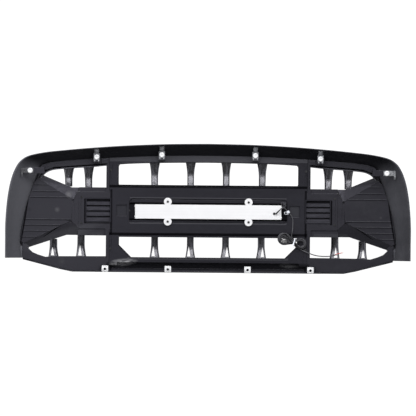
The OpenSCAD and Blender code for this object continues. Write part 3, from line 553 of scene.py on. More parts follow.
def glossy(name, dark, light, rough=0.12, streaked=False):
    """Polished black plastic with a faint orange peel; a streaked one shows the drag marks of its mould in
    its relief, and pale streaks in its colour that are a painted streaky reflection.
    """
    look = Look(name)
    look.set(Specular_IOR_Level=0.8, Specular_Tint=(0.94, 0.935, 1.0, 1.0))
    base = look.mottled(30, 3, dark, light, 0.4, 0.6)
    if streaked:
        # Pale vertical streaks in the colour: a painted streaky reflection
        drag = look.noise(170, 3, 0.6, look.stretched((1, 1, 0.14)), 0.3)
        base = look.blend(look.span(drag, 0, 0.9, 0.42, 0.60), base, (0.15, 0.15, 0.172))
        look.bump(look.noise(150, 3, 0.6, look.stretched((2.2, 2.2, 0.3))), 0.0004, 0.9)
    look.colour(base)
    look.wear(look.noise(400, 3, 0.6, look.stretched((1, 1, 0.2))), rough - 0.04, rough + 0.1, 0.35, 0.7)
    look.bump(look.noise(220, 2, 0.5), 0.00004, 0.6)
    look.bump(look.noise(1400, 1, 0.5), 0.000008)
    return look.material


def powder_coat(name):
    """White powder coat over an extrusion: long die lines and a pebbled skin."""
    look = Look(name)
    look.set(Specular_IOR_Level=0.4)
    lines = look.noise(420, 2, 0.6, look.stretched((0.004, 1, 1)))
    clouds = look.noise(25, 3, 0.5)
    shade = look.math("ADD", look.times(lines, 0.6), look.times(clouds, 0.4))
    look.colour(look.blend(look.span(shade, 0, 1, 0.35, 0.65), (0.80, 0.80, 0.815), (0.86, 0.86, 0.87)))
    look.wear(clouds, 0.32, 0.46)
    look.bump(lines, 0.00006, 0.5)
    look.bump(look.noise(1100, 2, 0.5), 0.00003, 0.7)
    return look.material


def metal(name, dark, light, rough, scratch=(1, 1, 1), grain=0.00001, metallic=1.0):
    """Metal or paint on metal, spotted and finely scratched; `scratch` stretches the scratches."""
    look = Look(name)
    look.set(Metallic=metallic)
    lines = look.noise(700, 3, 0.6, look.stretched(scratch))
    look.colour(look.blend(look.span(look.noise(260, 4, 0.6), 0, 1, 0.35, 0.65), dark, light))
    look.wear(lines, rough - 0.07, rough + 0.1)
    look.bump(lines, grain)
    look.bump(look.noise(90, 2), 0.00008, 0.4)
    return look.material


def rubber(name, dark, light, rough, level=0.35, shade_spot=None):
    """Flexible plastic or rubber; its last argument, if given, is x, z and radius of a part painted darker as
    shade.
    """
    look = Look(name)
    look.set(Specular_IOR_Level=level, Specular_Tint=(0.93, 0.92, 1.0, 1.0))
    base = look.mottled(120, 3, dark, light)
    # Painted shade: the given part darker
    if shade_spot:
        x, z, radius = shade_spot
        base = look.blend(look.spot(x, z, radius, 0.012, 1.4, -17), base, tuple(0.3 * c for c in dark))
    look.colour(base)
    look.wear(look.noise(500, 2), rough - 0.05, rough + 0.1)
    look.bump(look.noise(1500, 2, 0.6), 0.00003)
    return look.material


def nylon(name):
    """Bright moulded nylon."""
    look = Look(name)
    look.set(Specular_IOR_Level=0.45)
    look.colour(look.mottled(90, 3, (0.76, 0.79, 0.86), (0.86, 0.88, 0.92)))
    look.wear(look.noise(300, 2), 0.3, 0.48)
    look.bump(look.noise(900, 2), 0.00004, 0.6)
    return look.material


def circuit_board(name):
    """Solder mask with copper tracks showing through as a slightly raised, lighter pattern."""
    look = Look(name)
    look.set(Specular_IOR_Level=0.5)
    line = look.span(look.cell_edges(150, look.stretched((1, 1, 1.4))), 1, 0, 0.04, 0.07)
    look.colour(look.blend(line, (0.02, 0.12, 0.06), (0.05, 0.24, 0.11)))
    look.wear(look.noise(200, 2), 0.25, 0.4, 0.3, 0.7)
    look.bump(line, 0.00005)
    return look.material


def phosphor(name):
    """The yellow face of an LED."""
    look = Look(name)
    look.colour(look.mottled(1800, 3, (0.83, 0.62, 0.12), (0.9, 0.78, 0.3), 0.3, 0.7))
    look.wear(look.noise(900, 2), 0.35, 0.6, 0.3, 0.7)
    look.bump(look.noise(2500, 2), 0.00002)
    return look.material


def clear(name):
    """Clear acrylic."""
    look = Look(name)
    look.set(Transmission_Weight=1.0, IOR=1.49, Base_Color=(0.94, 0.97, 1.0, 1.0))
    look.wear(look.noise(60, 3), 0.01, 0.06, 0.4, 0.7)
    look.bump(look.noise(30, 2), 0.00006, 0.3)
    return look.material


panel = moulded("panel_plastic", (0.0050, 0.0048, 0.0066), (0.0092, 0.0090, 0.0118), 0.42)
# The same plastic painted paler for the side frames, wings and joint strips: painted light
painted_paler_panel = moulded("side_panel_plastic", (0.0085, 0.0082, 0.0106), (0.0150, 0.0146, 0.0180), 0.40)
# The surround, much paler than the panels: partly a tone of its own, partly painted light; its top wall,
# which faces down, is painted darker as shade
bands = moulded("surround_plastic", (0.044, 0.0444, 0.0505), (0.060, 0.0605, 0.0680), 0.40, 0.00003, 0.35,
                (0.0045, 0.0045, 0.006), False, 0)
louvre = moulded("louvre_plastic", (0.0045, 0.0043, 0.0062), (0.0085, 0.0082, 0.0110), 0.44, level=0.24,
                 marks=False, dust_and_highlight=0.04)
gloss = glossy("gloss_plastic", (0.0055, 0.0055, 0.0065), (0.0085, 0.0085, 0.0098))
strut_gloss = glossy("strut_plastic", (0.0065, 0.0066, 0.0080), (0.0100, 0.0101, 0.0120), 0.17, True)
white = powder_coat("white_housing")
black_metal = metal("black_screws", (0.02, 0.02, 0.022), (0.045, 0.045, 0.048), 0.38, metallic=0.7)
zinc = metal("zinc_steel", (0.78, 0.785, 0.80), (0.90, 0.905, 0.91), 0.34, (0.2, 1, 1), metallic=0.2)
# A darker steel for the left corner clip: painted shade, standing in for the spring steel in its dark pocket
pocket_shaded_steel = metal("pocket_shaded_steel", (0.050, 0.050, 0.056), (0.075, 0.075, 0.083), 0.45, metallic=0.0)
spring = metal("spring_steel", (0.13, 0.135, 0.145), (0.34, 0.345, 0.36), 0.36, (0.15, 1, 1), 0.00002)
board = circuit_board("circuit_board")
led = phosphor("led_phosphor")
mirror = metal("reflector", (0.82, 0.83, 0.85), (0.92, 0.93, 0.95), 0.14)
glass = clear("clear_lens")
gasket = rubber("gasket_rubber", (0.014, 0.014, 0.014), (0.024, 0.024, 0.024), 0.6)
# The middle of the hank is painted darker as shade
jacket = rubber("cord_jacket", (0.060, 0.060, 0.065), (0.090, 0.090, 0.098), 0.38, 0.6,
                shade_spot=(0.241, -0.094, 0.022))
nylon_white = nylon("white_nylon")
red = rubber("red_insulation", (0.42, 0.035, 0.03), (0.55, 0.06, 0.05), 0.35, 0.5)
black_insulation = rubber("black_insulation", (0.012, 0.012, 0.013), (0.022, 0.022, 0.024), 0.35, 0.5)
copper = metal("tinned_copper", (0.62, 0.5, 0.42), (0.8, 0.72, 0.66), 0.3)

# --- Cord -------------------------------------------------------------------------------------------

CORD_D = 3.0
LEAD = [(203, -15.5, -6), (208, -15.2, -1), (213, -13.5, 2.5), (219, -10, 3), (224.5, -7, -2),
        (229, -5.6, -8), (234, -4.6, -13), (239, -3.8, -18.5), (242.5, -3.2, -25), (244, -2.8, -34),
        (244, -2.8, -46), (243.4, -3, -58), (242, -3.6, -68), (240.6, -4.6, -75), (240.6, -6, -81)]
TAIL = [(248.5, -12.5, -103), (252.5, -9.5, -108.5), (258.5, -6.5, -112.8), (266, -5, -116),
        (274, -4.4, -119.6), (283, -4.4, -123.4), (293, -5.4, -127.6), (304, -3, -131.4), (316, 0, -134),
        (328, 2, -135.2), (341, 3, -135.4), (354, 3, -134.2), (367, 3, -130.8)]
LOBES = [Vector((219.5, -85.5)), Vector((266.5, -99.5))]
RUN = LOBES[1] - LOBES[0]
HALF_RUN = RUN.length / 2
ALONG = RUN.normalized()
ACROSS = Vector((-ALONG.y, ALONG.x))
TIE_AT = LOBES[0] + 0.6 * RUN
HANK_Y = bow_at(TIE_AT.x)
WAIST = 9.5
WAIST_U = 0.1 * RUN.length


def on_hank(u, v, depth):
    """A point of the hank: u along it from its middle, v across it, depth behind the bow."""
    p = (LOBES[0] + LOBES[1]) / 2 + u * ALONG + v * ACROSS
    return Vector((p.x, HANK_Y + depth, p.y))


def hank_turns():
    """The turns of the hank, wound clockwise from the top of its waist; the last half crosses to the tail.

    Each turn: top, bottom and half length of its left bow, half height and half length of its right bow,
    its place in y from the bar's curve, and its height at the waist.
    """
    rng = random.Random(7)

    def jitter():
        return rng.uniform(-0.1, 0.1)

    points = []
    turns = [(15.6, -17.0, 17.5, 15.2, 14.4, -6.6, 6.6), (13.4, -13.9, 14.8, 12.4, 11.2, -7.0, 4.4),
             (10.4, -4.6, 9.0, 9.8, 11.6, -9.6, 1.8), (3.0, -11.8, 8.8, 7.6, 8.0, -10.0, 5.0),
             (14.6, -0.6, 8.8, 13.8, 12.8, -10.2, 2.4), (7.4, -8.2, 8.2, 8.6, 9.4, -12.8, 3.4)]
    for top, bottom, left_long, right_high, right_long, depth, waist in turns:
        points.append(on_hank(WAIST_U, waist, depth))
        for k in range(10):
            a = math.radians(114 - 228 * k / 9)
            u = HALF_RUN + 1 + jitter() + right_long * math.cos(a)
            v = jitter() + right_high * math.sin(a)
            points.append(on_hank(u, v, depth + jitter()))
        points.append(on_hank(WAIST_U, -waist, depth))
        for k in range(10):
            a = math.radians(-66 - 228 * k / 9)
            u = -HALF_RUN - 0.6 - (17.5 - left_long) * 0.16 + jitter() + left_long * math.cos(a)
            v = (top + bottom) / 2 + (top - bottom) / 2 * math.sin(a) + jitter()
            points.append(on_hank(u, v, depth + jitter()))
    points.append(on_hank(WAIST_U, 1.6, -13.0))
    for k in range(10):
        a = math.radians(118 - 236 * k / 9)
        points.append(on_hank(HALF_RUN + 1.2 + 10.4 * math.cos(a), 10.4 * math.sin(a), -14.2))
    points.append(on_hank(WAIST_U, -1.2, -14.6))
    for k in range(9):
        a = math.radians(-70 - 200 * k / 8)
        points.append(on_hank(-HALF_RUN + 1.5 + 15.2 * math.cos(a), 0.6 + 15.2 * math.sin(a), -13.2))
    for u, v in ((-17.4, 12.2), (-12.2, 7.2), (-6.6, 2.8), (-0.8, -1.4), (5.0, -5.0)):
        points.append(on_hank(u, v, -15.0))
    return points


route = [on_bow(*p) for p in LEAD[:-1]] + [on_hank(-4.4, 10.2, -7.4), on_hank(-0.8, 7.9, -7.2)]
route += hank_turns() + [on_bow(*p) for p in TAIL]
centreline = spline(route, 8)

cord_data = bpy.data.curves.new("light_cord", "CURVE")
cord_data.dimensions = "3D"
cord_data.bevel_depth = CORD_D / 2 * MM
cord_data.bevel_resolution = 5
cord_data.use_fill_caps = True
cord_line = cord_data.splines.new("POLY")
cord_line.points.add(len(centreline) - 1)
for point, p in zip(cord_line.points, centreline):
    point.co = (*(p * MM), 1)
cord_line.use_smooth = True
cord_data.materials.append(jacket)
cord = bpy.data.objects.new("light_cord", cord_data)
scene.collection.objects.link(cord)
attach(cord, "root")
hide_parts("cord_lead", "cord_hank", "cord_tail")

# The tie: a strap round the waist, its head, and the cut tail
tie = Shape()
back, front, half = -17.2, -3.9, WAIST + 0.5
rings = []
for k in range(48):
    a = 2 * math.pi * k / 48
    c, s = math.cos(a), math.sin(a)
    v = half * math.copysign(abs(s) ** 0.55, s)
    d = (back + front) / 2 + (front - back) / 2 * math.copysign(abs(c) ** 0.7, c)
    rings.append([on_hank(WAIST_U + w, v + t * s, d + t * c)
                  for w, t in ((-1.7, -0.5), (1.7, -0.5), (1.7, 0.5), (-1.7, 0.5))])
tie.loop(rings)
head = [on_hank(WAIST_U + u, v, d) for u in (-2.3, 2.3) for v in (-10.6, -6.2) for d in (-20.0, -17.0)]
tie.add(head, [(0, 1, 3, 2), (4, 6, 7, 5), (0, 4, 5, 1), (2, 3, 7, 6), (0, 2, 6, 4), (1, 5, 7, 3)])
tail_path = spline([on_hank(WAIST_U + 0.2, -7.5, -18.6), on_hank(WAIST_U + 0.6, -10.8, -19.0),
                    on_hank(WAIST_U + 2.2, -14.4, -19.2), on_hank(WAIST_U + 4.6, -17.2, -19.0)], 6)
tie.strap(tail_path, 2.3, 0.5, on_hank(1, 0, 0) - on_hank(0, 0, 0))
cable_tie = piece("nylon_cable_tie", tie, nylon_white, ["cable_tie"], bevel=0.25)


def wire_end(name, node, offset_z, rise, colour, sag, reach=1.0, radius=1.0):
    """A stripped wire: insulation, then twisted bare strands."""
    start = on_bow(*TAIL[-1]) + Vector((-1.0, 0, offset_z))
    direction = Vector((math.cos(math.radians(rise)), 0, math.sin(math.radians(rise))))
    path = []
    for i in range(55):
        t = 0.5 * reach * i
        curl = math.sin(t / 26 * math.pi)
        path.append(start + direction * t + Vector((0, -1.2 * curl, sag * curl)))
    cover = Shape().tube(path[:45], radius, 20)
    insulation = piece(name, cover, colour, [node])
    strands = Shape()
    for k in range(6):
        strand = []
        for i, p in enumerate(path[43:54]):
            a = 2 * math.pi * k / 6 + 0.34 * i
            strand.append(p + Vector((0, 0.34 * math.cos(a), 0.34 * math.sin(a))))
        strands.tube(strand, 0.17, 8)
    bare = piece(name + "_strands", strands, copper)
    return [insulation, bare]


wires = wire_end("red_wire", "red_wire_end", 0.9, 13, red, 0.8)
wires += wire_end("black_wire", "black_wire_end", -0.75, 4, black_insulation, -0.4, 0.4, 0.8)
# A short sleeve where the jacket ends and the two wires leave it
end_dir = (centreline[-1] - centreline[-4]).normalized()
sleeve_path = [centreline[-1] - end_dir * 9 + end_dir * (0.5 * i) for i in range(23)]
sleeve = Shape().tube(sleeve_path, lambda t: 1.72 - 0.25 * t * t, 24)
wires.append(piece("jacket_end_sleeve", sleeve, gasket))

# Strain relief: flange, elbow and ribbed sleeve
GLAND = Vector((190, 0, -13.5))
BAR_BACK = BOW_Y - 10
gland = Shape()
gland.turned([(0, -2.6), (2.6, -2.6), (3.3, -2.0), (3.3, -0.4), (3.0, -0.1), (0, -0.1)],
             (GLAND.x, BAR_BACK, GLAND.z), (0, 1, 0))
bend = [(GLAND.x - 1, -1.4, GLAND.z + 0.3), (GLAND.x + 2.0, -3.4, GLAND.z),
        (GLAND.x + 6.0, -5.6, GLAND.z + 0.4), (198.2, -6.6, -10.6)]
bend = [Vector((x, BAR_BACK + d, z)) for x, d, z in bend]
elbow = spline(bend + [on_bow(*LEAD[0]), on_bow(206.2, -15.4, -3.0)], 14)
gland.tube(elbow, lambda t: 2.0 - 0.35 * t + (0.2 if t > 0.35 and int(t * 26) % 2 else 0), 28)
piece("strain_relief", gland, gasket, ["cable_gland"])

# --- Ring clip --------------------------------------------------------------------------------------

RING_AT = on_bow(230, -6.3, -9)
RING_AXIS = Vector((1, 0, -1)).normalized()
CLIP_SCREW = (223.2, -12)
FOOT_Y = bow_at(230, -1.4)
ring = Shape()
side = Vector((1, 0, 1)).normalized()
loop = []
for k in range(33):
    a = math.radians(232 - 294 * k / 32)
    loop.append(RING_AT + 3.7 * (math.cos(a) * side + math.sin(a) * Vector((0, -1, 0))))
ring.strap(loop, 7.4, 1.7, RING_AXIS)
foot = rounded(CLIP_SCREW[0] - 4.6, CLIP_SCREW[1] - 4.2, CLIP_SCREW[0] + 9.4, CLIP_SCREW[1] + 4.4, 4.1, 6)
ring.plate(foot, CLIP_SCREW, 1.75, FOOT_Y, 1.6)
piece("ring_clip", ring, nylon_white, ["cable_ring_clip"], bevel=0.35)


# --- Clip nuts --------------------------------------------------------------------------------------

def collar(shape, x, y, z, height=3.6, radius=7.3, bore=3.0, blind=True):
    """Threaded barrel of a clip nut; y is where it stands on its plate. A blind one has a closed end."""
    if blind:
        profile = [(0, -height + 0.1), (bore - 0.5, -height + 0.1), (bore + 0.1, -height - 0.1),
                   (radius - 1.8, -height - 0.5), (radius - 0.7, -height - 0.2),
                   (radius - 0.1, -height + 0.5), (radius, -0.8), (radius + 0.5, 0.1), (bore, 0.2),
                   (bore - 0.1, -height + 0.9), (0, -height + 0.9)]
        shape.turned(profile, (x, y, z), (0, 1, 0), 48)
        return
    thread = []
    h = -height - 0.2
    while h < 1.2:
        thread += [(bore, h), (bore - 0.45, h + 0.3)]
        h += 0.6
    profile = [(bore + 0.7, -height - 0.4), (radius - 1.6, -height - 0.4), (radius - 0.7, -height - 0.1),
               (radius - 0.1, -height + 0.5), (radius, -0.8), (radius + 0.5, 0.1), (bore + 0.3, 1.3)]
    shape.turned(profile + thread[::-1], (x, y, z), (0, 1, 0), 48, closed=True)


def tongue(shape, x, y, z, w, heights, thick=0.9):
    """A sheet-metal tongue of (height, offset in y) pairs."""
    path = spline([Vector((x, y + d, z + h)) for h, d in heights], 6)
    shape.strap(path, w, thick, (1, 0, 0))


def clip_piece(name, node, places, make, material):
    """Both clips of one kind: their sheet metal is one piece and their threaded barrels another."""
    sheet, barrels = Shape(), Shape()
    for x, z in places:
        make(sheet, barrels, x, z)
    piece(name + "_clips", sheet, material, [node], bevel=0.2, segments=2)
    piece(name + "_barrels", barrels, zinc)


def top_nut(shape, barrels, x, z):
    y = bow_at(x, -26) - 0.05
    shape.plate(rounded(x - 8.5, z - 8.9, x + 8.5, z + 11, 1.8), (x, z), 3.0, y - 1.0, 1.0)
    shape.plate(rounded(x - 8.0, z - 8.9, x + 8.0, z + 9, 1.8), (x, z), 3.2, y + 3.15, 1.0)
    fold = [Vector((x, y + 1.6 - 2.1 * math.cos(a), z - 8.8 - 1.2 * math.sin(a)))
            for a in (math.pi * k / 12 for k in range(13))]
    shape.strap(fold, 16.6, 0.95, (1, 0, 0))
    tongue(shape, x, y - 0.5, z, 13.6, [(8, 0), (12, -1.6), (15.4, -7.2), (19.2, -13.6), (22.8, -19.6)])
    for s in (-1, 1):
        tongue(shape, x + s * 5.4, y - 0.5, z, 3.2, [(-8, 0), (-11, -0.6), (-14.6, -0.2)])
    collar(barrels, x, y - 1.0, z)


def bottom_nut(shape, barrels, x, z):
    y = bow_at(x, -12) - 0.05
    shape.plate(rounded(x - 9.3, z - 7.5, x + 9.3, z + 9.0, 1.6), (x, z), 4.2, y - 1.2, 1.2)
    shape.plate(rounded(x - 9.0, z - 7.2, x + 9.0, z + 9.0, 1.6), (x, z), 4.4, y + 2.65, 1.1)
    fold = [Vector((x, y + 1.3 - 1.85 * math.cos(a), z + 8.9 + 1.0 * math.sin(a)))
            for a in (math.pi * k / 12 for k in range(13))]
    shape.strap(fold, 18.2, 1.1, (1, 0, 0))
    for s in (-1, 1):
        tongue(shape, x + s * 7.2, y - 1.3, z, 2.2, [(-7.2, 0), (-3, -0.7), (2, -0.7), (6, 0)], 0.8)
    collar(barrels, x, y - 1.2, z, 1.6, 6.2, 4.2, blind=False)


def corner_nut(shape, barrels, x, z):
    s = math.copysign(1, x)
    y = bow_at(x, -43) - 0.05
    end = x + s * 12.1
    low, high = sorted((x - s * 10, end + s * 0.4))
    shape.plate(rounded(low, z - 7.5, high, z + 7.5, 1.6), (x, z), 3.0, y - 1.1, 1.1)
    shape.plate(rounded(low, z - 7.2, high, z + 7.2, 1.6), (x, z), 3.2, y + 3.15, 1.1)

    def bent(points, n):
        """A curve through places given outward, in y and in z from the plate's end."""
        return spline([Vector((end + s * u, y + d, z + h)) for u, d, h in points], n)

    shape.strap(bent([(0, -0.5, 0), (0.9, 1.5, 0), (0, 3.7, 0)], 6), 14.6, 1.0, (0, 0, 1))
    shape.strap(bent([(-1, -0.6, 0), (4, -0.8, 0), (9, -1.6, 0), (13.6, -0.9, 0)], 6), 14.4, 1.0, (0, 0, 1))
    for h in (-4.2, 0, 4.2):
        shape.tube(bent([(0, -1.1, h), (4, -1.8, h), (9, -2.4, h), (12.6, -1.5, h)], 5), 0.75, 10)
    shape.strap(bent([(10.8, -0.9, -6.4), (11, -1.2, -11), (10.6, 0.2, -17.4)], 6), 5.6, 0.95, (1, 0, 0))
    collar(barrels, x, y - 1.1, z)


def pair(x, z):
    return [(-x, z), (x, z)]


clip_piece("top_inner_spring", "top_inner_clip_nuts", pair(134.5, 152.6), top_nut, spring)
clip_piece("top_outer_spring", "top_outer_clip_nuts", pair(321.5, 144.6), top_nut, spring)
clip_piece("corner_right_spring", "corner_clip_nuts", [(510.8, 104.4)], corner_nut, spring)
# The left corner clip gets the darker steel: painted shade
clip_piece("corner_left_spring", "corner_clip_nuts", [(-510.8, 104.4)], corner_nut, pocket_shaded_steel)
clip_piece("bottom_inner_spring", "bottom_inner_clip_nuts", pair(114.6, -177), bottom_nut, zinc)
clip_piece("bottom_outer_spring", "bottom_outer_clip_nuts", pair(295.4, -177), bottom_nut, zinc)

# --- Surround ---------------------------------------------------------------------------------------

TOP_Z = 185.5


def rim_z(x):
    return TOP_Z - x * x / 7880


def crease_z(x):
    return TOP_Z - 33.5 - x * x / 9700


def head_z(x):
    return TOP_Z - 54.5 - x * x / 10200


ARCH = (0, 118, 236, 335, 415)
RIM = [(x, rim_z(x)) for x in ARCH]
RIM += [(470, 157), (515, 146.8), (539, 131.5), (553, 111), (563.5, 84), (571, 52), (577, 8), (580.5, -48),
        (580.5, -100), (580.5, -146.5)]
CREASE = [(x, crease_z(x)) for x in ARCH]
CREASE += [(455, 129.5), (480, 121), (490, 109), (495, 92), (502, 71), (512, 42), (523.5, 4), (535, -50),
           (540.5, -98), (537, -146.5)]
INNER = [(x, head_z(x)) for x in (0, 118, 236)] + [(x, head_z(x) - 4.2) for x in (330, 405)]
INNER += [(445, 106.3), (463, 99.5), (473, 91), (482, 78), (490, 60), (500, 32), (511, -4), (523, -54),
          (530, -104), (532.5, -146.5)]
# Section of the surround: shares of rim, crease and inner edge, and depth from the bow
OUTSIDE = [(1, 0, 0, -50), (0.6, 0.4, 0, -22.5), (0.16, 0.84, 0, 3), (0.06, 0.94, 0, 17), (0, 0.87, 0.13, 27),
           (0, 0.6, 0.4, 31.5), (0, 0.3, 0.7, 29), (0, 0.04, 0.96, 18), (0, 0, 1, 3.4)]
INSIDE = [(0, 0.13, 0.87, 3.4), (0, 0.17, 0.83, 17), (0, 0.37, 0.63, 26), (0, 0.6, 0.4, 28.5),
          (0, 0.8, 0.2, 24.5), (0, 0.93, 0.07, 16), (0, 1, 0, 0), (0.52, 0.48, 0, -25), (0.92, 0.08, 0, -50)]
section = spline(OUTSIDE, 4) + spline(INSIDE, 4)
lines = [spline([Vector(p) for p in line], 8) for line in (RIM, CREASE, INNER)]
last = len(lines[0]) - 1
rings = []
for i in range(-last, last + 1):
    rim, crease, inner = (line[abs(i)] for line in lines)
    ring_points = []
    open_share = min(1.0, max(0.0, (crease.y + 112) / 16))
    for k, s in enumerate(section):
        if k > 4 * len(OUTSIDE):
            s = s.copy()
            s[3] = min(s[3], 3.4 + max(0.0, s[3] - 3.4) * open_share)
        p = s[0] * rim + s[1] * crease + s[2] * inner
        x = -p.x if i < 0 else p.x
        ring_points.append(Vector((x, bow_at(x, s[3]), p.y)))
    rings.append(ring_points)
surround = Shape().loft(rings)
piece("surround_shell", surround, bands, ["outer_surround"], sharp=50, bevel=0.9)

# --- Struts -----------------------------------------------------------------------------------------


def both_sides(rows):
    """The struts of the left half, mirrored from the right one, and then the right ones."""
    return [(-x, low, high, -foot_cut, -head_cut) for x, low, high, foot_cut, head_cut in rows[::-1]] + rows


# Distance from the centre, heights of the foot and the head, and how steeply each of them is cut
UPPER = both_sides([(51, 66.8, 130.4, 0, 0), (154.5, 66.8, 128.3, 0, 0), (343.6, 57, 114.8, 0, 0),
                    (400.5, 60.5, 110.6, 0.42, 0)])
LOWER = both_sides([(50.6, -142, -84.8, 0, 0), (153, -142, -84.8, 0, 0), (363.8, -142, -81.3, 0, 0),
                    (442.4, -142, -92.8, 0, -0.334)])
STRUT_BACK = 7.4


def strut_section(half, depth, wall=2.0, outer=3.2, inner=1.6, n=5):
    """U section, open to the back: (sideways, forward) pairs."""
    def arc(cx, cy, r, start, end):
        return [(cx + r * math.cos(math.radians(start + (end - start) * k / n)),
                 cy + r * math.sin(math.radians(start + (end - start) * k / n))) for k in range(n + 1)]

    out = [(half - 0.3, 0.0), (half, 0.4)] + arc(half - outer, depth - outer, outer, 0, 90)
    out += arc(-half + outer, depth - outer, outer, 90, 180) + [(-half, 0.4), (-half + 0.3, 0.0)]
    w, d = half - wall, depth - wall
    out += [(-w - 0.3, 0.0), (-w, 0.4)] + arc(-w + inner, d - inner, inner, 180, 90)
    out += arc(w - inner, d - inner, inner, 90, 0) + [(w, 0.4), (w + 0.3, 0.0)]
    return out


def strut_shape(x0, z0, z1, foot_cut, head_cut, flared_top, steps=32):
    turn = -math.asin(x0 / BOW_R)
    c, s = math.cos(turn), math.sin(turn)
    base = bow_at(x0, STRUT_BACK)
    rings = []
    for i in range(steps + 1):
        t = i / steps
        flared = 1 - t if flared_top else t
        half = 9.6 + 5 * max(0.0, 1 - flared / 0.62) ** 1.7
        depth = 27 - (11 if t < 0.5 else 3.5) * abs(2 * t - 1) ** 1.4
        slant = foot_cut * max(0.0, 1 - 4 * t) + head_cut * max(0.0, 4 * t - 3)
        z = z0 - 1.6 + t * (z1 - z0 + 3.2) + slant * a
        rings.append([Vector((x0 + a * c - b * s, base + a * s + b * c, z))
                      for a, b in strut_section(half, depth)])
    return Shape().loft(rings)


for i, ends in enumerate(UPPER):
    piece(f"upper_window_strut_{i + 1}", strut_shape(*ends, True), strut_gloss,
          [f"upper_strut_{i + 1}"], sharp=60)
for i, ends in enumerate(LOWER):
    x0, z0, z1 = ends[:3]
    strut = piece(f"lower_window_strut_{i + 1}", strut_shape(*ends, False), strut_gloss,
                  [f"lower_strut_{i + 1}"], sharp=60)
    s = math.copysign(1, x0)
    foot = z0 + 3
    tip = z0 + 0.55 * (z1 - z0)
    corners = [(x0 + s * 9.2, foot), (x0 - s * 0.5, foot), (x0 + s * 4.5, tip)]
    opening = Shape().loft([[Vector((x, y, z)) for x, z in corners] for y in (bow_at(x0, 4), bow_at(x0, 45))])
    cut(strut, opening)
    strut.data.set_sharp_from_angle(angle=math.radians(60))

# Strips behind the joints between the panels: x, depth and z of their places, and their width
JOINTS = {
    "wing_fold_strip": ([(531, 6, -103.5), (520, 6.5, -97), (500, 7, -86.5), (480, 7.5, -76),
                         (462, 8, -66.6)], 8),
    "valance_end_strip": ([(531.8, 5, z) for z in (-104, -118, -132, -145.6)], 5.5),
    "upper_post_strip": ([(286.6, 4.4, z) for z in (46, 75, 104, 132)], 5),
    "lower_post_strip": ([(286.6, 4.4, z) for z in (-152, -122, -90, -58)], 5),
    "wing_root_strip": ([(372, 4.4, z) for z in (-83, -45, 0, 46)], 5),
}
for side, hand in ((-1, "left"), (1, "right")):
    for name, (places, width) in JOINTS.items():
        path = spline([on_bow(side * x, d, z) for x, d, z in places], 4)
        run = (path[-1] - path[0]).normalized()
        strip = Shape().strap(path, width, 1.2, run.cross(Vector((0, 1, 0))))
        piece(f"{hand}_{name}", strip, painted_paler_panel, bevel=0.3)
    gusset = [(532, -100), (514.8, -110.8), (513.6, -119), (532, -107)]
    fill = Shape().loft([[on_bow(side * x, d, z) for x, z in gusset] for d in (1.6, 4.0)])
    piece(hand + "_corner_gusset", fill, painted_paler_panel, bevel=0.5)

# --- Vents --------------------------------------------------------------------------------------------

VENT_LOW, VENT_HIGH = (279, -42), (353, 27)


def vent_shape(side):
    """A frame and four overlapping slats, each a curved blade."""
    shape = Shape()
    outer = rounded(VENT_LOW[0] + 0.1, VENT_LOW[1] + 0.1, VENT_HIGH[0] - 0.1, VENT_HIGH[1] - 0.1, 0.8, 3)
    inner = rounded(VENT_LOW[0] + 3.2, VENT_LOW[1] + 3.2, VENT_HIGH[0] - 3.2, VENT_HIGH[1] - 3.2, 1.4, 3)
    shape.loop([[on_bow(side * x, d, z) for x, z in outline]
                for outline, d in ((outer, -1.5), (outer, 20), (inner, 20), (inner, -1.5))])
    pitch = (VENT_HIGH[1] - VENT_LOW[1] - 6.4) / 4
    for i in range(4):
        foot = VENT_LOW[1] + 2.0 + i * pitch
        blade = []
        for k in range(9):
            t = k / 8
            depth = 3.4 + 6.6 * t - 1.5 * math.sin(math.pi * t) - (0.9 if k == 0 else 0)
            blade.append((depth, foot + (pitch + 0.6) * t))
        section = blade + [(d + 1.9, z + 0.7) for d, z in reversed(blade)]
        stations = [VENT_LOW[0] + 2 + (VENT_HIGH[0] - VENT_LOW[0] - 4) * k / 8 for k in range(9)]
        shape.loft([[on_bow(side * x, d, z) for d, z in section] for x in stations])
    return shape


for side, name in ((-1, "left"), (1, "right")):
    piece(name + "_vent_louvres", vent_shape(side), louvre, [name + "_vent"], sharp=35,
          bevel=0.35)

# --- CAD nodes that are shown: rounded edges and materials ---------------------------------------------

LOOKS = {
    "lower_valance": (panel, 0.5), "centre_frame": (panel, 0.5), "left_side_frame": (painted_paler_panel, 0.5),
    "right_side_frame": (painted_paler_panel, 0.5), "left_wing": (painted_paler_panel, 0.4), "right_wing": (painted_paler_panel, 0.4),
    "centre_fascia": (gloss, 0.6), "light_housing": (white, 0.45), "left_light_end_cap": (white, 0.5),
    "right_light_end_cap": (white, 0.5), "light_circuit_board": (board, 0.1), "light_leds": (led, 0.15),
    "light_reflector": (mirror, 0.1), "light_gasket": (gasket, 0.15), "light_lens": (glass, 0.4),
    "light_mounting_screws": (black_metal, 0.25), "light_end_cap_screws": (zinc, 0.2),
    "recess_screws": (black_metal, 0.2), "frame_screws": (black_metal, 0.25),
    "wing_screws": (black_metal, 0.2),
}
for name, (material, width) in LOOKS.items():
    node = nodes[name]
    node.data.materials.clear()
    node.data.materials.append(material)
    for polygon in node.data.polygons:
        polygon.use_smooth = True
    weld = node.modifiers.new("weld", "WELD")
    weld.merge_threshold = 0.000002
    add_bevel(node, width, 2, 32)

# --- Floor and light ----------------------------------------------------------------------------------

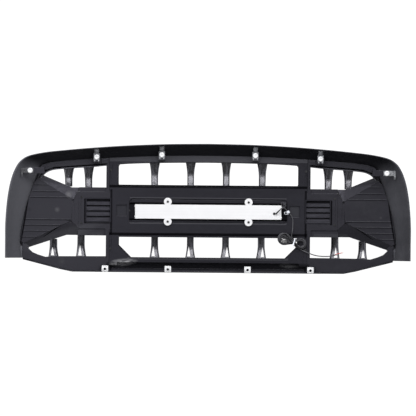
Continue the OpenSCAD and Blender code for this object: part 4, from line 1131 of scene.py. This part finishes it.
floor_mesh = bpy.data.meshes.new("floor")
floor_mesh.from_pydata([(-150, -150, 0), (150, -150, 0), (150, 150, 0), (-150, 150, 0)], [], [(0, 1, 2, 3)])
floor = bpy.data.objects.new("floor", floor_mesh)
scene.collection.objects.link(floor)
floor.location.z = cad_low[2] - 0.0002
floor_look = Look("floor")
floor_look.set(Specular_IOR_Level=0.0, Roughness=0.9)
floor_look.colour(floor_look.blend(floor_look.noise(0.7, 2), (0.4, 0.4, 0.4), (0.42, 0.42, 0.42)))
glow = floor_look.tree.nodes.new("ShaderNodeEmission")
glow.inputs["Color"].default_value = (1, 1, 1, 1)
glow.inputs["Strength"].default_value = 1.25
floor_mix = floor_look.tree.nodes.new("ShaderNodeMixShader")
floor_seen = floor_look.tree.nodes.new("ShaderNodeLightPath").outputs["Is Camera Ray"]
floor_look.link(floor_look.times(floor_seen, 0.8), floor_mix.inputs[0])
floor_look.link(floor_look.shader.outputs[0], floor_mix.inputs[1])
floor_look.link(glow.outputs[0], floor_mix.inputs[2])
floor_look.link(floor_mix.outputs[0], floor_look.tree.nodes["Material Output"].inputs["Surface"])
floor_mesh.materials.append(floor_look.material)

world = bpy.data.worlds.new("studio")
scene.world = world
world.use_nodes = True
tree = world.node_tree
tree.nodes.clear()


def world_node(kind, **values):
    """Adds a node to the world's tree and sets its named inputs."""
    node = tree.nodes.new("ShaderNode" + kind)
    for key, value in values.items():
        node.inputs[key.replace("_", " ")].default_value = value
    return node


# Strong from behind the part and weak from its front; the camera sees plain white
output = world_node("OutputWorld")
mix = world_node("MixShader")
path = world_node("LightPath")
toward = world_node("SeparateXYZ")
tree.links.new(world_node("TexCoord").outputs["Generated"], toward.inputs[0])
lean = world_node("Math")
lean.operation = "MULTIPLY_ADD"
lean.inputs[1].default_value = 0.35
lobe = world_node("MapRange", From_Min=0.35, From_Max=-0.95, To_Min=0.16, To_Max=1.35)
lobe.interpolation_type = "SMOOTHSTEP"
ambient = world_node("Background", Color=(0.98, 0.985, 1, 1))
seen = world_node("Background", Color=(1, 1, 1, 1), Strength=1.1)
tree.links.new(toward.outputs[0], lean.inputs[0])
tree.links.new(toward.outputs[1], lean.inputs[2])
tree.links.new(lean.outputs[0], lobe.inputs["Value"])
tree.links.new(lobe.outputs["Result"], ambient.inputs["Strength"])
tree.links.new(path.outputs["Is Camera Ray"], mix.inputs[0])
tree.links.new(ambient.outputs[0], mix.inputs[1])
tree.links.new(seen.outputs[0], mix.inputs[2])
tree.links.new(mix.outputs[0], output.inputs["Surface"])


def softbox(name, place, aim, width, height, radiance):
    """An area light of a given radiance."""
    light = bpy.data.lights.new(name, "AREA")
    light.shape = "RECTANGLE"
    light.size, light.size_y = width, height
    light.energy = radiance * math.pi * width * height
    obj = bpy.data.objects.new(name, light)
    scene.collection.objects.link(obj)
    obj.location = place
    obj.rotation_euler = (Vector(aim) - Vector(place)).to_track_quat("-Z", "Y").to_euler()
    obj.visible_camera = False
    return obj


softbox("rear_softbox", (0.3, -2.5, 2.1), (0, 0, 0), 3.6, 1.3, 4.6)
softbox("front_softbox", (-0.5, 2.8, 2.2), (0, 0, 0), 3.0, 1.2, 2.0)
